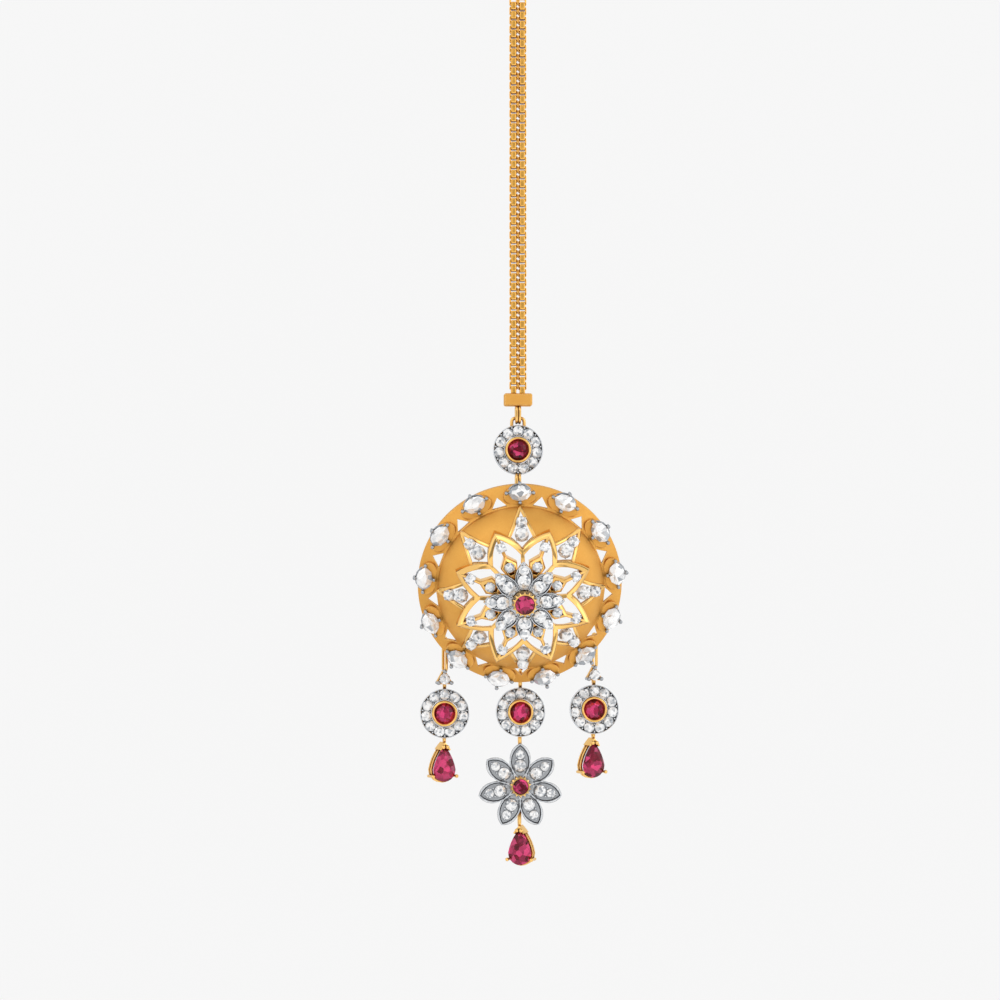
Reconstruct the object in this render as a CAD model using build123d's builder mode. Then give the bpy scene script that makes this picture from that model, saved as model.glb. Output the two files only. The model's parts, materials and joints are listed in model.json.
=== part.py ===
from build123d import *

import os
from math import cos, hypot, radians, sin

# Maang tikka: a hair ornament that hangs on a hook over the parting of the hair.
# The frame: +Z up, the jewel faces -Y, +X to the right of someone looking at it.
# The origin is the inside of the hook's bend, where the whole jewel hangs.
# Everything is in millimetres.

os.makedirs("parts", exist_ok=True)

# ------------------------------------------------------------ driving dimensions
SEAT_GAP = 0.05  # play between a stone, or a fitted piece, and its seat
RING_PLAY = 0.1  # play between a hanging loop and the wire that carries it
SOLDER = 0.3  # how deep a soldered foot goes into its piece

HOOK_WIRE = 1.0
HOOK_HALF_WIDTH = 2.8  # half the width of the bend, at the wire's centre line
HOOK_DROP = 15.5  # from the bend's inside down to the first chain link
COLLAR = (3.4, 2.0, 2.5)

STRAND_WIDTH = 1.2
STRAND_SPACING = 1.5
STRAND_CORNER = 0.25
CHAIN_LENGTH = 64.0

BAR = (4.5, 2.2, 2.0)
BAR_CHAMFER = 0.25

LOOP_HEIGHT = 3.2  # flat hanging loops, seen edge-on from the front
LOOP_DEPTH = 2.3
LOOP_WALL = 0.6
LOOP_WIDTH = 0.95

ARCH_WIRE = 0.55
ARCH_HALF_WIDTH = 1.0
ARCH_RISE = 1.12  # from a halo's edge up to the centre of its arch's crown

HALO_RADIUS = 4.0
HALO_BACK = -0.6
HALO_FLOOR = 0.42
HALO_RIM_TOP = 0.7
HALO_STONES = 11
HALO_STONE_CIRCLE = 3.05
MELEE_SEAT = 0.6  # radius of the drilled seat under a 1.4 mm diamond
BEZEL_RADIUS = 2.1
RUBY_RADIUS = 1.52

TILT = 15.0  # the medallion hangs face down by this much, its dome being in front
ROLL = 1.5  # and is turned by this much in its own plane
BAIL_REACH = 16.22  # from the medallion's centre up to the wire that carries it
BAIL_BACK = 0.48  # how far that wire lies behind the medallion's centre

EDGE_RADIUS = 16.4
RIDGE_RADIUS = 13.2
PLATE_INNER = 7.0
RIM_STONES = 13
RIM_CIRCLE = 15.5
RIM_STONE_HALF = (1.95, 1.36)  # half length and half width of a marquise stone
POCKET_HALF = (2.6, 1.95)
POCKET_FLOOR = -0.8
RIM_CLAW_RADIUS = 0.22
RIM_CLAW_TOP = 0.35
CLAW_RADIUS = 0.26
PIERCING_BASE = 13.45
PIERCING_TIP = 14.95
PIERCING_HALF = 1.25

PETALS = 8
PETAL_TIP = 11.4
PETAL_VALLEY = 7.75
PETAL_WALL = 0.55
BAR_WIDTH = 0.5
RHOMB_TIP = 7.6
PETAL_SLOPE = 0.3  # a petal falls towards its tip
PETAL_ROOF = 0.75  # and to both sides of its middle line
PETAL_PEAK = 6.3  # height of the middle line above a petal's tip
LOTUS_UNDERSIDE = ((14.0, 2.6), (11.35, 4.1), (6.9, 5.42))  # it stands clear of the tips
HUB = (3.5, 4.4)
KITE_TIP = 12.8
KITE_SIDE = 9.2
KITE_HALF = 1.8
KITE_RIM = 0.4
KITE_RELIEF = 0.2
KITE_STONES = ((9.66, 1.12, 3.75), (11.65, 0.74, 3.45))  # circle, radius, height
PETAL_STONES = ((8.93, 0.82, 6.95), (5.68, 0.8, 7.6))

FLORET_TIP = 6.35
FLORET_BACK = 8.1
FLORET_TOP = 9.0
FLORET_STONES = ((3.35, 0.9), (5.05, 0.62))  # circle, seat radius
FLORET_RUBY_RADIUS = 1.5
FLORET_RUBY_GIRDLE = 10.5

FLOWER_PETALS = 7
FLOWER_TIP = 6.95
FLOWER_HALF_WIDTH = 1.7
FLOWER_STONES = ((3.35, 0.86), (5.15, 0.58))
FLOWER_RUBY_RADIUS = 1.3
FLOWER_RUBY_GIRDLE = 1.75
FLOWER_BACK = -0.6
FLOWER_TOP = 0.6
FLOWER_RIM = (0.26, 0.2)  # width and height of the rim round each petal's stones

PEAR_LENGTH = 6.0
PEAR_WIDTH = 4.0
PEAR_TURN = 21.0  # the pears hang turned about their own loops
PEAR_RAILS = (-1.75, -0.95)
PEAR_CLAW_TOP = 0.5
PEAR_CLAW_ANGLE = 27.0

# A staple is the wire eye on a piece's back; a hung piece's loop goes round it.
STAPLE_WIRE = 0.5
STAPLE_HALF_WIDTH = 0.65
STAPLE_STAND = 1.1  # from the back face to the centre of the staple's crown
STAPLE_LEGS = (STAPLE_STAND + SOLDER, STAPLE_STAND + SOLDER)
HANG_LOOP = (2.0, 0.5, 0.55)  # depth, wall and width of a hung piece's loop
HANG_FORWARD = 0.7  # a hung piece sits this far in front of its loop's centre

# Heights below the staple that carries each drop.
SIDE_CLAW_DROP = 6.1
SIDE_HALO_DROP = 11.7
SIDE_PEAR_DROP = 19.9
CENTRE_HALO_DROP = 6.2
CENTRE_FLOWER_DROP = 18.25
CENTRE_PEAR_DROP = 28.2
SIDE_STAPLE = (15.6, 51.2)  # radius, and angle from straight down
CENTRE_STAPLE_RADIUS = 15.6
HALO_STAPLE = 3.55  # below a halo's middle
FLOWER_STAPLE = 4.2  # below the flower's middle
EDGE_STAPLE_HEIGHT = -4.35

SIDE_BAIL = (1.7, 0.45, 0.45)  # depth, wall and width of a side drop's long loop
SIDE_BAIL_TURN = 10.0
CLAW_STONE_RADIUS = 0.88
CLAW_STONE_TURN = 12.0
CLAW_CUP = ((0.65, -1.2), (1.12, -1.2), (1.12, -0.55), (0.9, -0.55), (0.65, -0.95))
CLAW_TOP = 0.35
CLAW_STAPLE = 0.6  # below a claw setting's middle

X_AXIS = Vector(1, 0, 0)
FRONT = Vector(0, -1, 0)
UP = Vector(0, 0, 1)


# ------------------------------------------------------------ planes
def facing(point, turn=0.0):
    """A plane at a point that looks to the front, turned about the vertical."""
    angle = radians(turn)
    return Plane(
        origin=point,
        x_dir=(cos(angle), sin(angle), 0),
        z_dir=(sin(angle), -cos(angle), 0),
    )


def section(face):
    """The plane of a turned piece's profile: x is the radius and y the height."""
    return Plane(
        origin=face.origin, x_dir=face.x_dir, z_dir=face.x_dir.cross(face.z_dir)
    )


def spin_axis(face):
    """The axis that a piece on this face is turned about."""
    return Axis(face.origin, face.z_dir)


def place_on(face, x, y, height=0.0):
    """A point given by its place on a face and its height above it."""
    return face.from_local_coords((x, y, height))


# ------------------------------------------------------------ pieces of a build
# These add to the part that is being built where they are called.
def add_turned(face, points, mode=Mode.ADD):
    """A solid turned about a face's normal from (radius, height) points."""
    with BuildSketch(section(face)) as profile:
        with BuildLine():
            Polyline(*points, close=True)
        make_face()
    revolve(profile.sketch, axis=spin_axis(face), mode=mode)


def add_wire(plane, points, radii, wire):
    """A round wire along straight runs joined by tangent arcs."""
    with BuildLine(plane) as route:
        FilletPolyline(*points, radius=radii)
    start = Plane(origin=route.line @ 0, z_dir=route.line % 0)
    with BuildSketch(start) as ring:
        Circle(wire / 2)
    sweep(ring.sketch, path=route.line)


def add_loop(x, y, top, bottom, size=(LOOP_DEPTH, LOOP_WALL, LOOP_WIDTH), turn=0.0):
    """A flat band loop that stands edge-on to the front."""
    depth, wall, width = size
    middle = Vector(x, y, (top + bottom) / 2)
    along = facing(middle, turn).x_dir
    side = Plane(origin=middle - along * (width / 2), x_dir=UP, z_dir=along)
    with BuildSketch(side) as band:
        SlotOverall(top - bottom, depth)
        SlotOverall(top - bottom - 2 * wall, depth - 2 * wall, mode=Mode.SUBTRACT)
    extrude(band.sketch, amount=width)


def add_staple(crown, leg_direction, legs, wire=STAPLE_WIRE, half=STAPLE_HALF_WIDTH):
    """A wire staple: its crown runs along X, its left and right legs reach their piece."""
    plane = Plane(origin=crown, x_dir=X_AXIS, z_dir=X_AXIS.cross(leg_direction))
    points = ((-half, legs[0]), (-half, 0), (half, 0), (half, legs[1]))
    add_wire(plane, points, (0.7 * half, 0.7 * half), wire)


def add_pins(face, places, radius, low, high, mode=Mode.ADD):
    """Round pins, or holes, along a face's normal between two heights."""
    with BuildSketch(face.offset(low)) as pins:
        with Locations(*places):
            Circle(radius)
    extrude(pins.sketch, amount=high - low, mode=mode)


def polar_places(count, radius, start=90.0):
    """Points evenly round a circle, the first one at the start angle."""
    step = 360.0 / count
    angles = [radians(start + step * k) for k in range(count)]
    return [(radius * cos(a), radius * sin(a)) for a in angles]


# ------------------------------------------------------------ outlines
def marquise(half_length, half_width):
    """A pointed oval along x."""
    with BuildSketch() as outline:
        with BuildLine():
            ThreePointArc((-half_length, 0), (0, half_width), (half_length, 0))
            ThreePointArc((half_length, 0), (0, -half_width), (-half_length, 0))
        make_face()
    return outline.sketch


def pear(scale=1.0):
    """A pear outline about its middle, pointed at the top."""
    tip = PEAR_LENGTH / 2 * scale
    half = PEAR_WIDTH / 2 * scale
    low = -tip + half
    shoulder = 0.78 * half
    with BuildSketch() as outline:
        with BuildLine():
            ThreePointArc((half, low), (0, -tip), (-half, low))
            ThreePointArc((-half, low), (-shoulder, low + half), (0, tip))
            ThreePointArc((0, tip), (shoulder, low + half), (half, low))
        make_face()
    return outline.sketch


def leaf(base, tip, half_width):
    """A pointed petal along x from its base to its tip."""
    with BuildSketch() as outline:
        with Locations(((base + tip) / 2, 0)):
            add(marquise((tip - base) / 2, half_width))
    return outline.sketch


def grown(outline, amount):
    """An outline made larger, or smaller, by the same amount all round."""
    with BuildSketch() as changed:
        add(outline)
        offset(amount=amount, kind=Kind.INTERSECTION)
    return changed.sketch


def add_stone(face, outlines):
    """A cut stone: outlines lofted straight from one to the next."""
    sections = []
    for height, outline in outlines:
        with BuildSketch(face.offset(height)) as level:
            add(outline)
        sections.append(level.sketch)
    for below, above in zip(sections, sections[1:]):
        loft([below, above], ruled=True)


# ------------------------------------------------------------ repeated sub-parts
def add_halo(face):
    """A pave ring: a trough for its diamonds inside a thin rim."""
    rim = HALO_RADIUS
    bore = BEZEL_RADIUS + SEAT_GAP
    profile = (
        (bore, HALO_BACK),
        (rim - 0.15, HALO_BACK),
        (rim, HALO_BACK + 0.2),
        (rim, HALO_RIM_TOP - 0.1),
        (rim - 0.05, HALO_RIM_TOP),
        (rim - 0.12, HALO_RIM_TOP),
        (rim - 0.14, HALO_FLOOR),
        (bore, HALO_FLOOR),
    )
    add_turned(face, profile)
    seats = polar_places(HALO_STONES, HALO_STONE_CIRCLE)
    add_pins(face, seats, MELEE_SEAT, HALO_BACK - 0.1, HALO_FLOOR + 0.1, Mode.SUBTRACT)


def add_bezel(face):
    """The gold collar that holds a halo's ruby."""
    inner = RUBY_RADIUS + SEAT_GAP
    profile = (
        (1.2, -0.7),
        (BEZEL_RADIUS, -0.7),
        (BEZEL_RADIUS, 0.85),
        (BEZEL_RADIUS - 0.15, 1.05),
        (inner + 0.18, 1.05),
        (inner, 0.85),
        (inner, 0.3),
        (1.2, -0.1),
    )
    add_turned(face, profile)


def add_round_stone(face, radius, girdle, crown, pavilion):
    """A round brilliant, as its plain turned outer form."""
    profile = (
        (0, girdle - pavilion),
        (radius, girdle - 0.04 * radius),
        (radius, girdle + 0.04 * radius),
        (0.58 * radius, girdle + crown),
        (0, girdle + crown),
    )
    add_turned(face, profile)


def add_claw_crown(face, radius, low, girdle, claws, claw_radius):
    """A gold cup with upright claws round a stone."""
    ring = radius + SEAT_GAP + claw_radius
    top = girdle - 0.35
    profile = (
        (0.55 * radius, low),
        (ring, low),
        (ring, top),
        (ring - claw_radius, top),
        (0.6 * radius, low + 0.35),
    )
    add_turned(face, profile)
    add_pins(face, polar_places(claws, ring), claw_radius, low, girdle + 0.35)


def add_pear_basket(face, loop_top, loop_y):
    """A gold basket: two rails, a V claw at the tip, two claws and a loop."""
    for height in PEAR_RAILS:
        with BuildSketch(face.offset(height)) as rail:
            add(grown(pear(), 0.12))
            add(grown(pear(), -0.35), mode=Mode.SUBTRACT)
        extrude(rail.sketch, amount=0.3)
    low = PEAR_RAILS[0]
    with BuildSketch(face.offset(low)) as tip_claw:
        add(grown(pear(), 0.36))
        add(grown(pear(), 0.04), mode=Mode.SUBTRACT)
        with Locations((0, PEAR_LENGTH / 2)):
            Rectangle(PEAR_WIDTH, 2.6, mode=Mode.INTERSECT)
    extrude(tip_claw.sketch, amount=PEAR_CLAW_TOP - low)
    bottom_centre = -PEAR_LENGTH / 2 + PEAR_WIDTH / 2
    reach = PEAR_WIDTH / 2 + 0.04 + CLAW_RADIUS
    across = reach * cos(radians(PEAR_CLAW_ANGLE))
    down = bottom_centre - reach * sin(radians(PEAR_CLAW_ANGLE))
    places = ((-across, down), (across, down))
    add_pins(face, places, CLAW_RADIUS, low, PEAR_CLAW_TOP)
    tip = place_on(face, 0, PEAR_LENGTH / 2)
    add_loop(tip.X, loop_y, loop_top, tip.Z + 0.15, HANG_LOOP)


def add_pear_stone(face):
    """A pear-cut ruby as three straight lofts: pavilion, girdle and crown."""
    levels = (
        (-1.55, pear(0.12)),
        (-0.1, pear(0.98)),
        (0.1, pear(0.98)),
        (0.75, pear(0.55)),
    )
    add_stone(face, levels)


def export(builder, name):
    """Name a finished piece and write its file."""
    builder.part.label = name
    export_step(builder.part, f"parts/{name}.step")


# ------------------------------------------------------------ heights of the hanging line
BAR_TOP = -(HOOK_DROP + CHAIN_LENGTH)
BAR_LOOP_BOTTOM = BAR_TOP - BAR[2] + SOLDER - LOOP_HEIGHT
STATION_PIVOT = BAR_LOOP_BOTTOM + LOOP_WALL + RING_PLAY + ARCH_WIRE / 2
TOP_HALO = facing((0, 0, STATION_PIVOT - ARCH_RISE - HALO_RADIUS))
STATION_LOOP_TOP = TOP_HALO.origin.Z - HALO_RADIUS + 0.4
STATION_LOOP_BOTTOM = STATION_LOOP_TOP - LOOP_HEIGHT
PENDANT_PIVOT = STATION_LOOP_BOTTOM + LOOP_WALL + RING_PLAY + ARCH_WIRE / 2

NORMAL = Vector(0, -cos(radians(TILT)), -sin(radians(TILT)))
INCLINE = Vector(0, -sin(radians(TILT)), cos(radians(TILT)))
MEDALLION = Plane(
    origin=(BAIL_REACH * sin(radians(ROLL)), -BAIL_BACK, PENDANT_PIVOT - BAIL_REACH),
    x_dir=X_AXIS * cos(radians(ROLL)) + INCLINE * sin(radians(ROLL)),
    z_dir=NORMAL,
)


# ------------------------------------------------------------ hook and chain
with BuildPart() as hair_hook:
    with BuildLine(Plane.YZ) as hook_line:
        FilletPolyline(
            (0, -HOOK_DROP + COLLAR[2] - SOLDER),
            (0, -11.4),
            (-HOOK_HALF_WIDTH, -8.2),
            (-HOOK_HALF_WIDTH, HOOK_WIRE / 2),
            (HOOK_HALF_WIDTH, HOOK_WIRE / 2),
            (HOOK_HALF_WIDTH, -5.0),
            (HOOK_HALF_WIDTH + 0.7, -7.2),
            radius=(1.6, 2.0, 2.75, 2.75, 3.0),
        )
    with BuildSketch(Plane(origin=hook_line.line @ 0, z_dir=hook_line.line % 0)):
        Circle(HOOK_WIRE / 2)
    sweep()
    with Locations(hook_line.line @ 1):
        Sphere(0.65 * HOOK_WIRE)
    with Locations((0, 0, -HOOK_DROP + COLLAR[2] / 2)):
        Box(*COLLAR)
    collar_edges = hair_hook.edges().filter_by(GeomType.LINE).filter_by(Axis.Z)
    fillet(collar_edges, 0.4)
export(hair_hook, "hair_hook")

for side, name in ((-1, "left"), (1, "right")):
    top = Plane.XY.offset(-HOOK_DROP)
    with BuildPart() as strand:
        with BuildSketch(top):
            with Locations((side * STRAND_SPACING / 2, 0)):
                RectangleRounded(STRAND_WIDTH, STRAND_WIDTH, STRAND_CORNER)
        extrude(amount=-CHAIN_LENGTH)
    export(strand, f"chain_strand_{name}")

with BuildPart() as chain_bar:
    with Locations((0, 0, BAR_TOP - BAR[2] / 2)):
        Box(*BAR)
    chamfer(chain_bar.edges(), BAR_CHAMFER)
    add_loop(0, 0, BAR_LOOP_BOTTOM + LOOP_HEIGHT, BAR_LOOP_BOTTOM)
export(chain_bar, "chain_bar")

# ------------------------------------------------------------ upper cluster
with BuildPart() as top_halo:
    add_halo(TOP_HALO)
    add_wire(
        facing((0, 0, STATION_PIVOT)),
        (
            (-ARCH_HALF_WIDTH, -ARCH_RISE - 0.3),
            (-ARCH_HALF_WIDTH, 0),
            (ARCH_HALF_WIDTH, 0),
            (ARCH_HALF_WIDTH, -ARCH_RISE - 0.3),
        ),
        (0.7, 0.7),
        ARCH_WIRE,
    )
    add_loop(0, 0, STATION_LOOP_TOP, STATION_LOOP_BOTTOM)
export(top_halo, "top_halo")


def make_cluster_centre(face, prefix):
    """The ruby of a round cluster and the bezel that holds it."""
    with BuildPart() as bezel:
        add_bezel(face)
    export(bezel, f"{prefix}_bezel")
    with BuildPart() as ruby:
        add_round_stone(face, RUBY_RADIUS, girdle=0.55, crown=0.42, pavilion=1.2)
    export(ruby, f"{prefix}_ruby")


make_cluster_centre(TOP_HALO, "top")

# ------------------------------------------------------------ medallion outlines
VALLEY_TURN = radians(180 / PETALS)
valley = (PETAL_VALLEY * cos(VALLEY_TURN), PETAL_VALLEY * sin(VALLEY_TURN))
flank = (0.825 * PETAL_TIP, 0.163 * PETAL_TIP)

with BuildSketch() as petal_outer:
    with BuildLine():
        ThreePointArc((valley[0], -valley[1]), (flank[0], -flank[1]), (PETAL_TIP, 0))
        ThreePointArc((PETAL_TIP, 0), flank, valley)
        Polyline(valley, (3.0, 3.3), (3.0, -3.3), (valley[0], -valley[1]))
    make_face()
petal_inner = grown(petal_outer.sketch, -PETAL_WALL)


def sector(shift):
    """The wedge that belongs to one petal, drawn in from its sides by a shift."""
    far = 16.0
    apex = shift / sin(VALLEY_TURN)
    across = (far - apex) * sin(VALLEY_TURN) / cos(VALLEY_TURN)
    with BuildSketch() as wedge:
        Polygon((apex, 0), (far, -across), (far, across), align=None)
    return wedge.sketch


with BuildSketch() as petal_ring:
    add(petal_outer.sketch)
    add(petal_inner, mode=Mode.SUBTRACT)
    add(sector(0), mode=Mode.INTERSECT)

with BuildSketch() as petal_window:
    add(petal_inner)
    add(sector(BAR_WIDTH / 2), mode=Mode.INTERSECT)

with BuildSketch() as rhomb:
    Polygon(
        (RHOMB_TIP, 0), (5.85, 1.4), (4.0, 0.7), (4.0, -0.7), (5.85, -1.4), align=None
    )

with BuildSketch() as lotus_pattern:
    with PolarLocations(0, PETALS, start_angle=180 / PETALS):
        add(petal_ring.sketch)
        add(rhomb.sketch)
        with Locations((8.95, 0)):
            Rectangle(3.7, 0.4)
    with PolarLocations(0, PETALS, start_angle=180 / PETALS):
        add(grown(rhomb.sketch, -0.38), mode=Mode.SUBTRACT)
        with Locations(*[(circle, 0) for circle, radius, height in PETAL_STONES]):
            Circle(PETAL_STONES[0][1] + SEAT_GAP, mode=Mode.SUBTRACT)
    with PolarLocations(0, PETALS):
        with Locations(((HUB[1] + PETAL_VALLEY) / 2 - 0.2, 0)):
            Rectangle(PETAL_VALLEY - HUB[1], BAR_WIDTH)
    Circle(HUB[1])
    Circle(HUB[0], mode=Mode.SUBTRACT)

with BuildSketch() as kite:
    Polygon(
        (KITE_TIP, 0),
        (KITE_SIDE, KITE_HALF),
        (PETAL_VALLEY - 0.3, 0),
        (KITE_SIDE, -KITE_HALF),
        align=None,
    )

with BuildSketch() as kite_windows:
    with PolarLocations(0, PETALS):
        add(kite.sketch)
    with PolarLocations(0, PETALS, start_angle=180 / PETALS):
        add(petal_outer.sketch, mode=Mode.SUBTRACT)

with BuildSketch() as kite_rims:
    with PolarLocations(0, PETALS):
        add(grown(kite.sketch, KITE_RIM))
    Circle(RIDGE_RADIUS, mode=Mode.INTERSECT)
    with PolarLocations(0, PETALS):
        add(kite.sketch, mode=Mode.SUBTRACT)
    with PolarLocations(0, PETALS, start_angle=180 / PETALS):
        add(petal_outer.sketch, mode=Mode.SUBTRACT)

# Points of the dome's section: its foot on the ridge, its shoulder and its inner edge.
DOME_FOOT = (RIDGE_RADIUS, 0.45)
DOME_SHOULDER = (11.35, 3.0)
DOME_INNER = (PLATE_INNER, 5.35)
# The sloping outer band that the rim stones sit in, from its edge inwards.
BAND_TOP = ((EDGE_RADIUS, -2.2), (RIDGE_RADIUS + 0.1, -0.1))
BAND_BACK = ((EDGE_RADIUS, -2.95), (12.45, -0.35))


def lifted(point, height):
    """A point of the dome's section raised by a height."""
    return (point[0], point[1] + height)


def dome_band(low, high):
    """The section between two copies of the dome's curve, raised by low and high."""
    with BuildSketch(section(MEDALLION)) as band:
        with BuildLine():
            ThreePointArc(*[lifted(p, low) for p in (DOME_FOOT, DOME_SHOULDER, DOME_INNER)])
            Line(lifted(DOME_INNER, low), lifted(DOME_INNER, high))
            ThreePointArc(*[lifted(p, high) for p in (DOME_INNER, DOME_SHOULDER, DOME_FOOT)])
            Line(lifted(DOME_FOOT, high), lifted(DOME_FOOT, low))
        make_face()
    return band.sketch


def raised(outline, low, high):
    """An outline of the medallion's face as a prism between two heights."""
    with BuildSketch(MEDALLION.offset(low)) as level:
        add(outline)
    with BuildPart() as prism:
        extrude(level.sketch, amount=high - low)
    return prism.part


with BuildPart() as rim_relief:
    revolve(dome_band(-0.2, KITE_RELIEF), axis=spin_axis(MEDALLION))
    add(raised(kite_rims.sketch, -1, 8), mode=Mode.INTERSECT)

def band_middle(radius):
    """The height of the middle of the outer band's thickness at a radius."""
    share = (radius - BAND_TOP[1][0]) / (BAND_TOP[0][0] - BAND_TOP[1][0])
    top = BAND_TOP[1][1] + share * (BAND_TOP[0][1] - BAND_TOP[1][1])
    share = (radius - BAND_BACK[1][0]) / (BAND_BACK[0][0] - BAND_BACK[1][0])
    return (top + BAND_BACK[1][1] + share * (BAND_BACK[0][1] - BAND_BACK[1][1])) / 2


# ------------------------------------------------------------ medallion plate
with BuildPart() as medallion_plate:
    with BuildSketch(section(MEDALLION)):
        with BuildLine():
            ThreePointArc(DOME_FOOT, DOME_SHOULDER, DOME_INNER)
            Line(DOME_INNER, (PLATE_INNER, 4.55))
            ThreePointArc((PLATE_INNER, 4.55), (10.9, 2.45), (12.45, 0.1))
            Polyline(
                (12.45, 0.1),
                *reversed(BAND_BACK),
                *BAND_TOP,
                DOME_FOOT,
            )
        make_face()
    revolve(axis=spin_axis(MEDALLION))
    add(rim_relief.part)
    with BuildSketch(MEDALLION.offset(-4)) as piercings:
        with PolarLocations(0, RIM_STONES, start_angle=90 + 180 / RIM_STONES):
            Polygon(
                (PIERCING_BASE, -PIERCING_HALF),
                (PIERCING_TIP, 0),
                (PIERCING_BASE, PIERCING_HALF),
                align=None,
            )
    extrude(amount=6, mode=Mode.SUBTRACT)
    with BuildSketch(MEDALLION.offset(POCKET_FLOOR)) as pockets:
        with PolarLocations(RIM_CIRCLE, RIM_STONES, start_angle=90):
            add(marquise(*POCKET_HALF).rotate(Axis.Z, 90))
    extrude(amount=4, mode=Mode.SUBTRACT)
    with BuildSketch(MEDALLION.offset(-1)) as windows:
        add(kite_windows.sketch)
        with PolarLocations(0, PETALS, start_angle=180 / PETALS):
            add(petal_window.sketch)
    extrude(amount=10, mode=Mode.SUBTRACT)
    # The wire that the upper cluster's loop hangs on, and a staple for each drop.
    bail = Vector(0, 0, PENDANT_PIVOT)
    bail_place = MEDALLION.to_local_coords(bail)
    bail_leg = band_middle(bail_place.Y) - bail_place.Z
    add_staple(bail, NORMAL, (bail_leg, bail_leg), wire=ARCH_WIRE, half=ARCH_HALF_WIDTH)
    drop_hangers = []
    for radius, angle in (
        (SIDE_STAPLE[0], 270 - SIDE_STAPLE[1]),
        (SIDE_STAPLE[0], 270 + SIDE_STAPLE[1]),
        (CENTRE_STAPLE_RADIUS, 270),
    ):
        x, y = radius * cos(radians(angle)), radius * sin(radians(angle))
        crown = place_on(MEDALLION, x, y, EDGE_STAPLE_HEIGHT)
        feet = [hypot(x + shift, y) for shift in (-STAPLE_HALF_WIDTH, STAPLE_HALF_WIDTH)]
        add_staple(crown, NORMAL, [band_middle(foot) - EDGE_STAPLE_HEIGHT for foot in feet])
        drop_hangers.append(crown)
export(medallion_plate, "medallion_plate")

# ------------------------------------------------------------ lotus of wire petals
# Each petal is roofed: highest along its middle line, falling to its tip and sides.
with BuildPart() as petal_roofs:
    for k in range(PETALS):
        angle = radians(180 / PETALS * (2 * k + 1))
        along = place_on(MEDALLION, cos(angle), sin(angle)) - MEDALLION.origin
        across = NORMAL.cross(along)
        with BuildSketch(
            Plane(
                origin=place_on(MEDALLION, 0, 0, PETAL_PEAK + PETAL_SLOPE * PETAL_TIP),
                x_dir=across,
                z_dir=along - NORMAL * PETAL_SLOPE,
            )
        ) as gable:
            Polygon(
                (0, 0), (5, -5 * PETAL_ROOF), (5, -14), (-5, -14), (-5, -5 * PETAL_ROOF), align=None
            )
        extrude(gable.sketch, amount=14)

with BuildPart() as lotus_underside:
    with BuildSketch(section(MEDALLION)):
        with BuildLine():
            ThreePointArc(*LOTUS_UNDERSIDE)
            Polyline(LOTUS_UNDERSIDE[-1], (0, 6.2), (0, -1), (14, -1), LOTUS_UNDERSIDE[0])
        make_face()
    revolve(axis=spin_axis(MEDALLION))

with BuildPart() as lotus_frame:
    add(raised(lotus_pattern.sketch, 0, FLORET_BACK - SEAT_GAP))
    add(petal_roofs.part, mode=Mode.INTERSECT)
    add(lotus_underside.part, mode=Mode.SUBTRACT)
export(lotus_frame, "lotus_frame")


def add_collet(face, place, radius, low, high, wall=0.16):
    """A round tube setting."""
    with BuildSketch(face.offset(low)) as tube:
        with Locations(place):
            Circle(radius)
            Circle(radius - wall, mode=Mode.SUBTRACT)
    extrude(tube.sketch, amount=high - low)


with BuildPart() as kite_settings:
    for circle, radius, height in KITE_STONES:
        depth = 1.2 if radius > 1 else 0.35
        for place in polar_places(PETALS, circle):
            add_collet(MEDALLION, place, radius, height - depth, height)
export(kite_settings, "kite_settings")

with BuildPart() as petal_settings:
    for circle, radius, height in PETAL_STONES:
        for place in polar_places(PETALS, circle, start=90 + 180 / PETALS):
            add_collet(MEDALLION, place, radius, height - 1.2, height)
export(petal_settings, "petal_settings")

# ------------------------------------------------------------ floret and its ruby
with BuildPart() as floret:
    with BuildSketch(MEDALLION.offset(FLORET_BACK)):
        with PolarLocations(0, PETALS):
            add(leaf(0.8, FLORET_TIP, 1.32))
        Circle(2.4)
    extrude(amount=FLORET_TOP - FLORET_BACK)
    for circle, seat in FLORET_STONES:
        seats = polar_places(PETALS, circle)
        add_pins(MEDALLION, seats, seat, FLORET_BACK - 0.1, FLORET_TOP + 0.1, Mode.SUBTRACT)
export(floret, "floret")

with BuildPart() as floret_claws:
    add_claw_crown(
        MEDALLION,
        FLORET_RUBY_RADIUS,
        FLORET_TOP + SEAT_GAP,
        FLORET_RUBY_GIRDLE,
        claws=8,
        claw_radius=0.2,
    )
export(floret_claws, "floret_claws")

with BuildPart() as floret_ruby:
    add_round_stone(MEDALLION, FLORET_RUBY_RADIUS, FLORET_RUBY_GIRDLE, 0.5, 1.1)
export(floret_ruby, "floret_ruby")

# ------------------------------------------------------------ border stones
stone_places = polar_places(RIM_STONES, RIM_CIRCLE)

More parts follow.
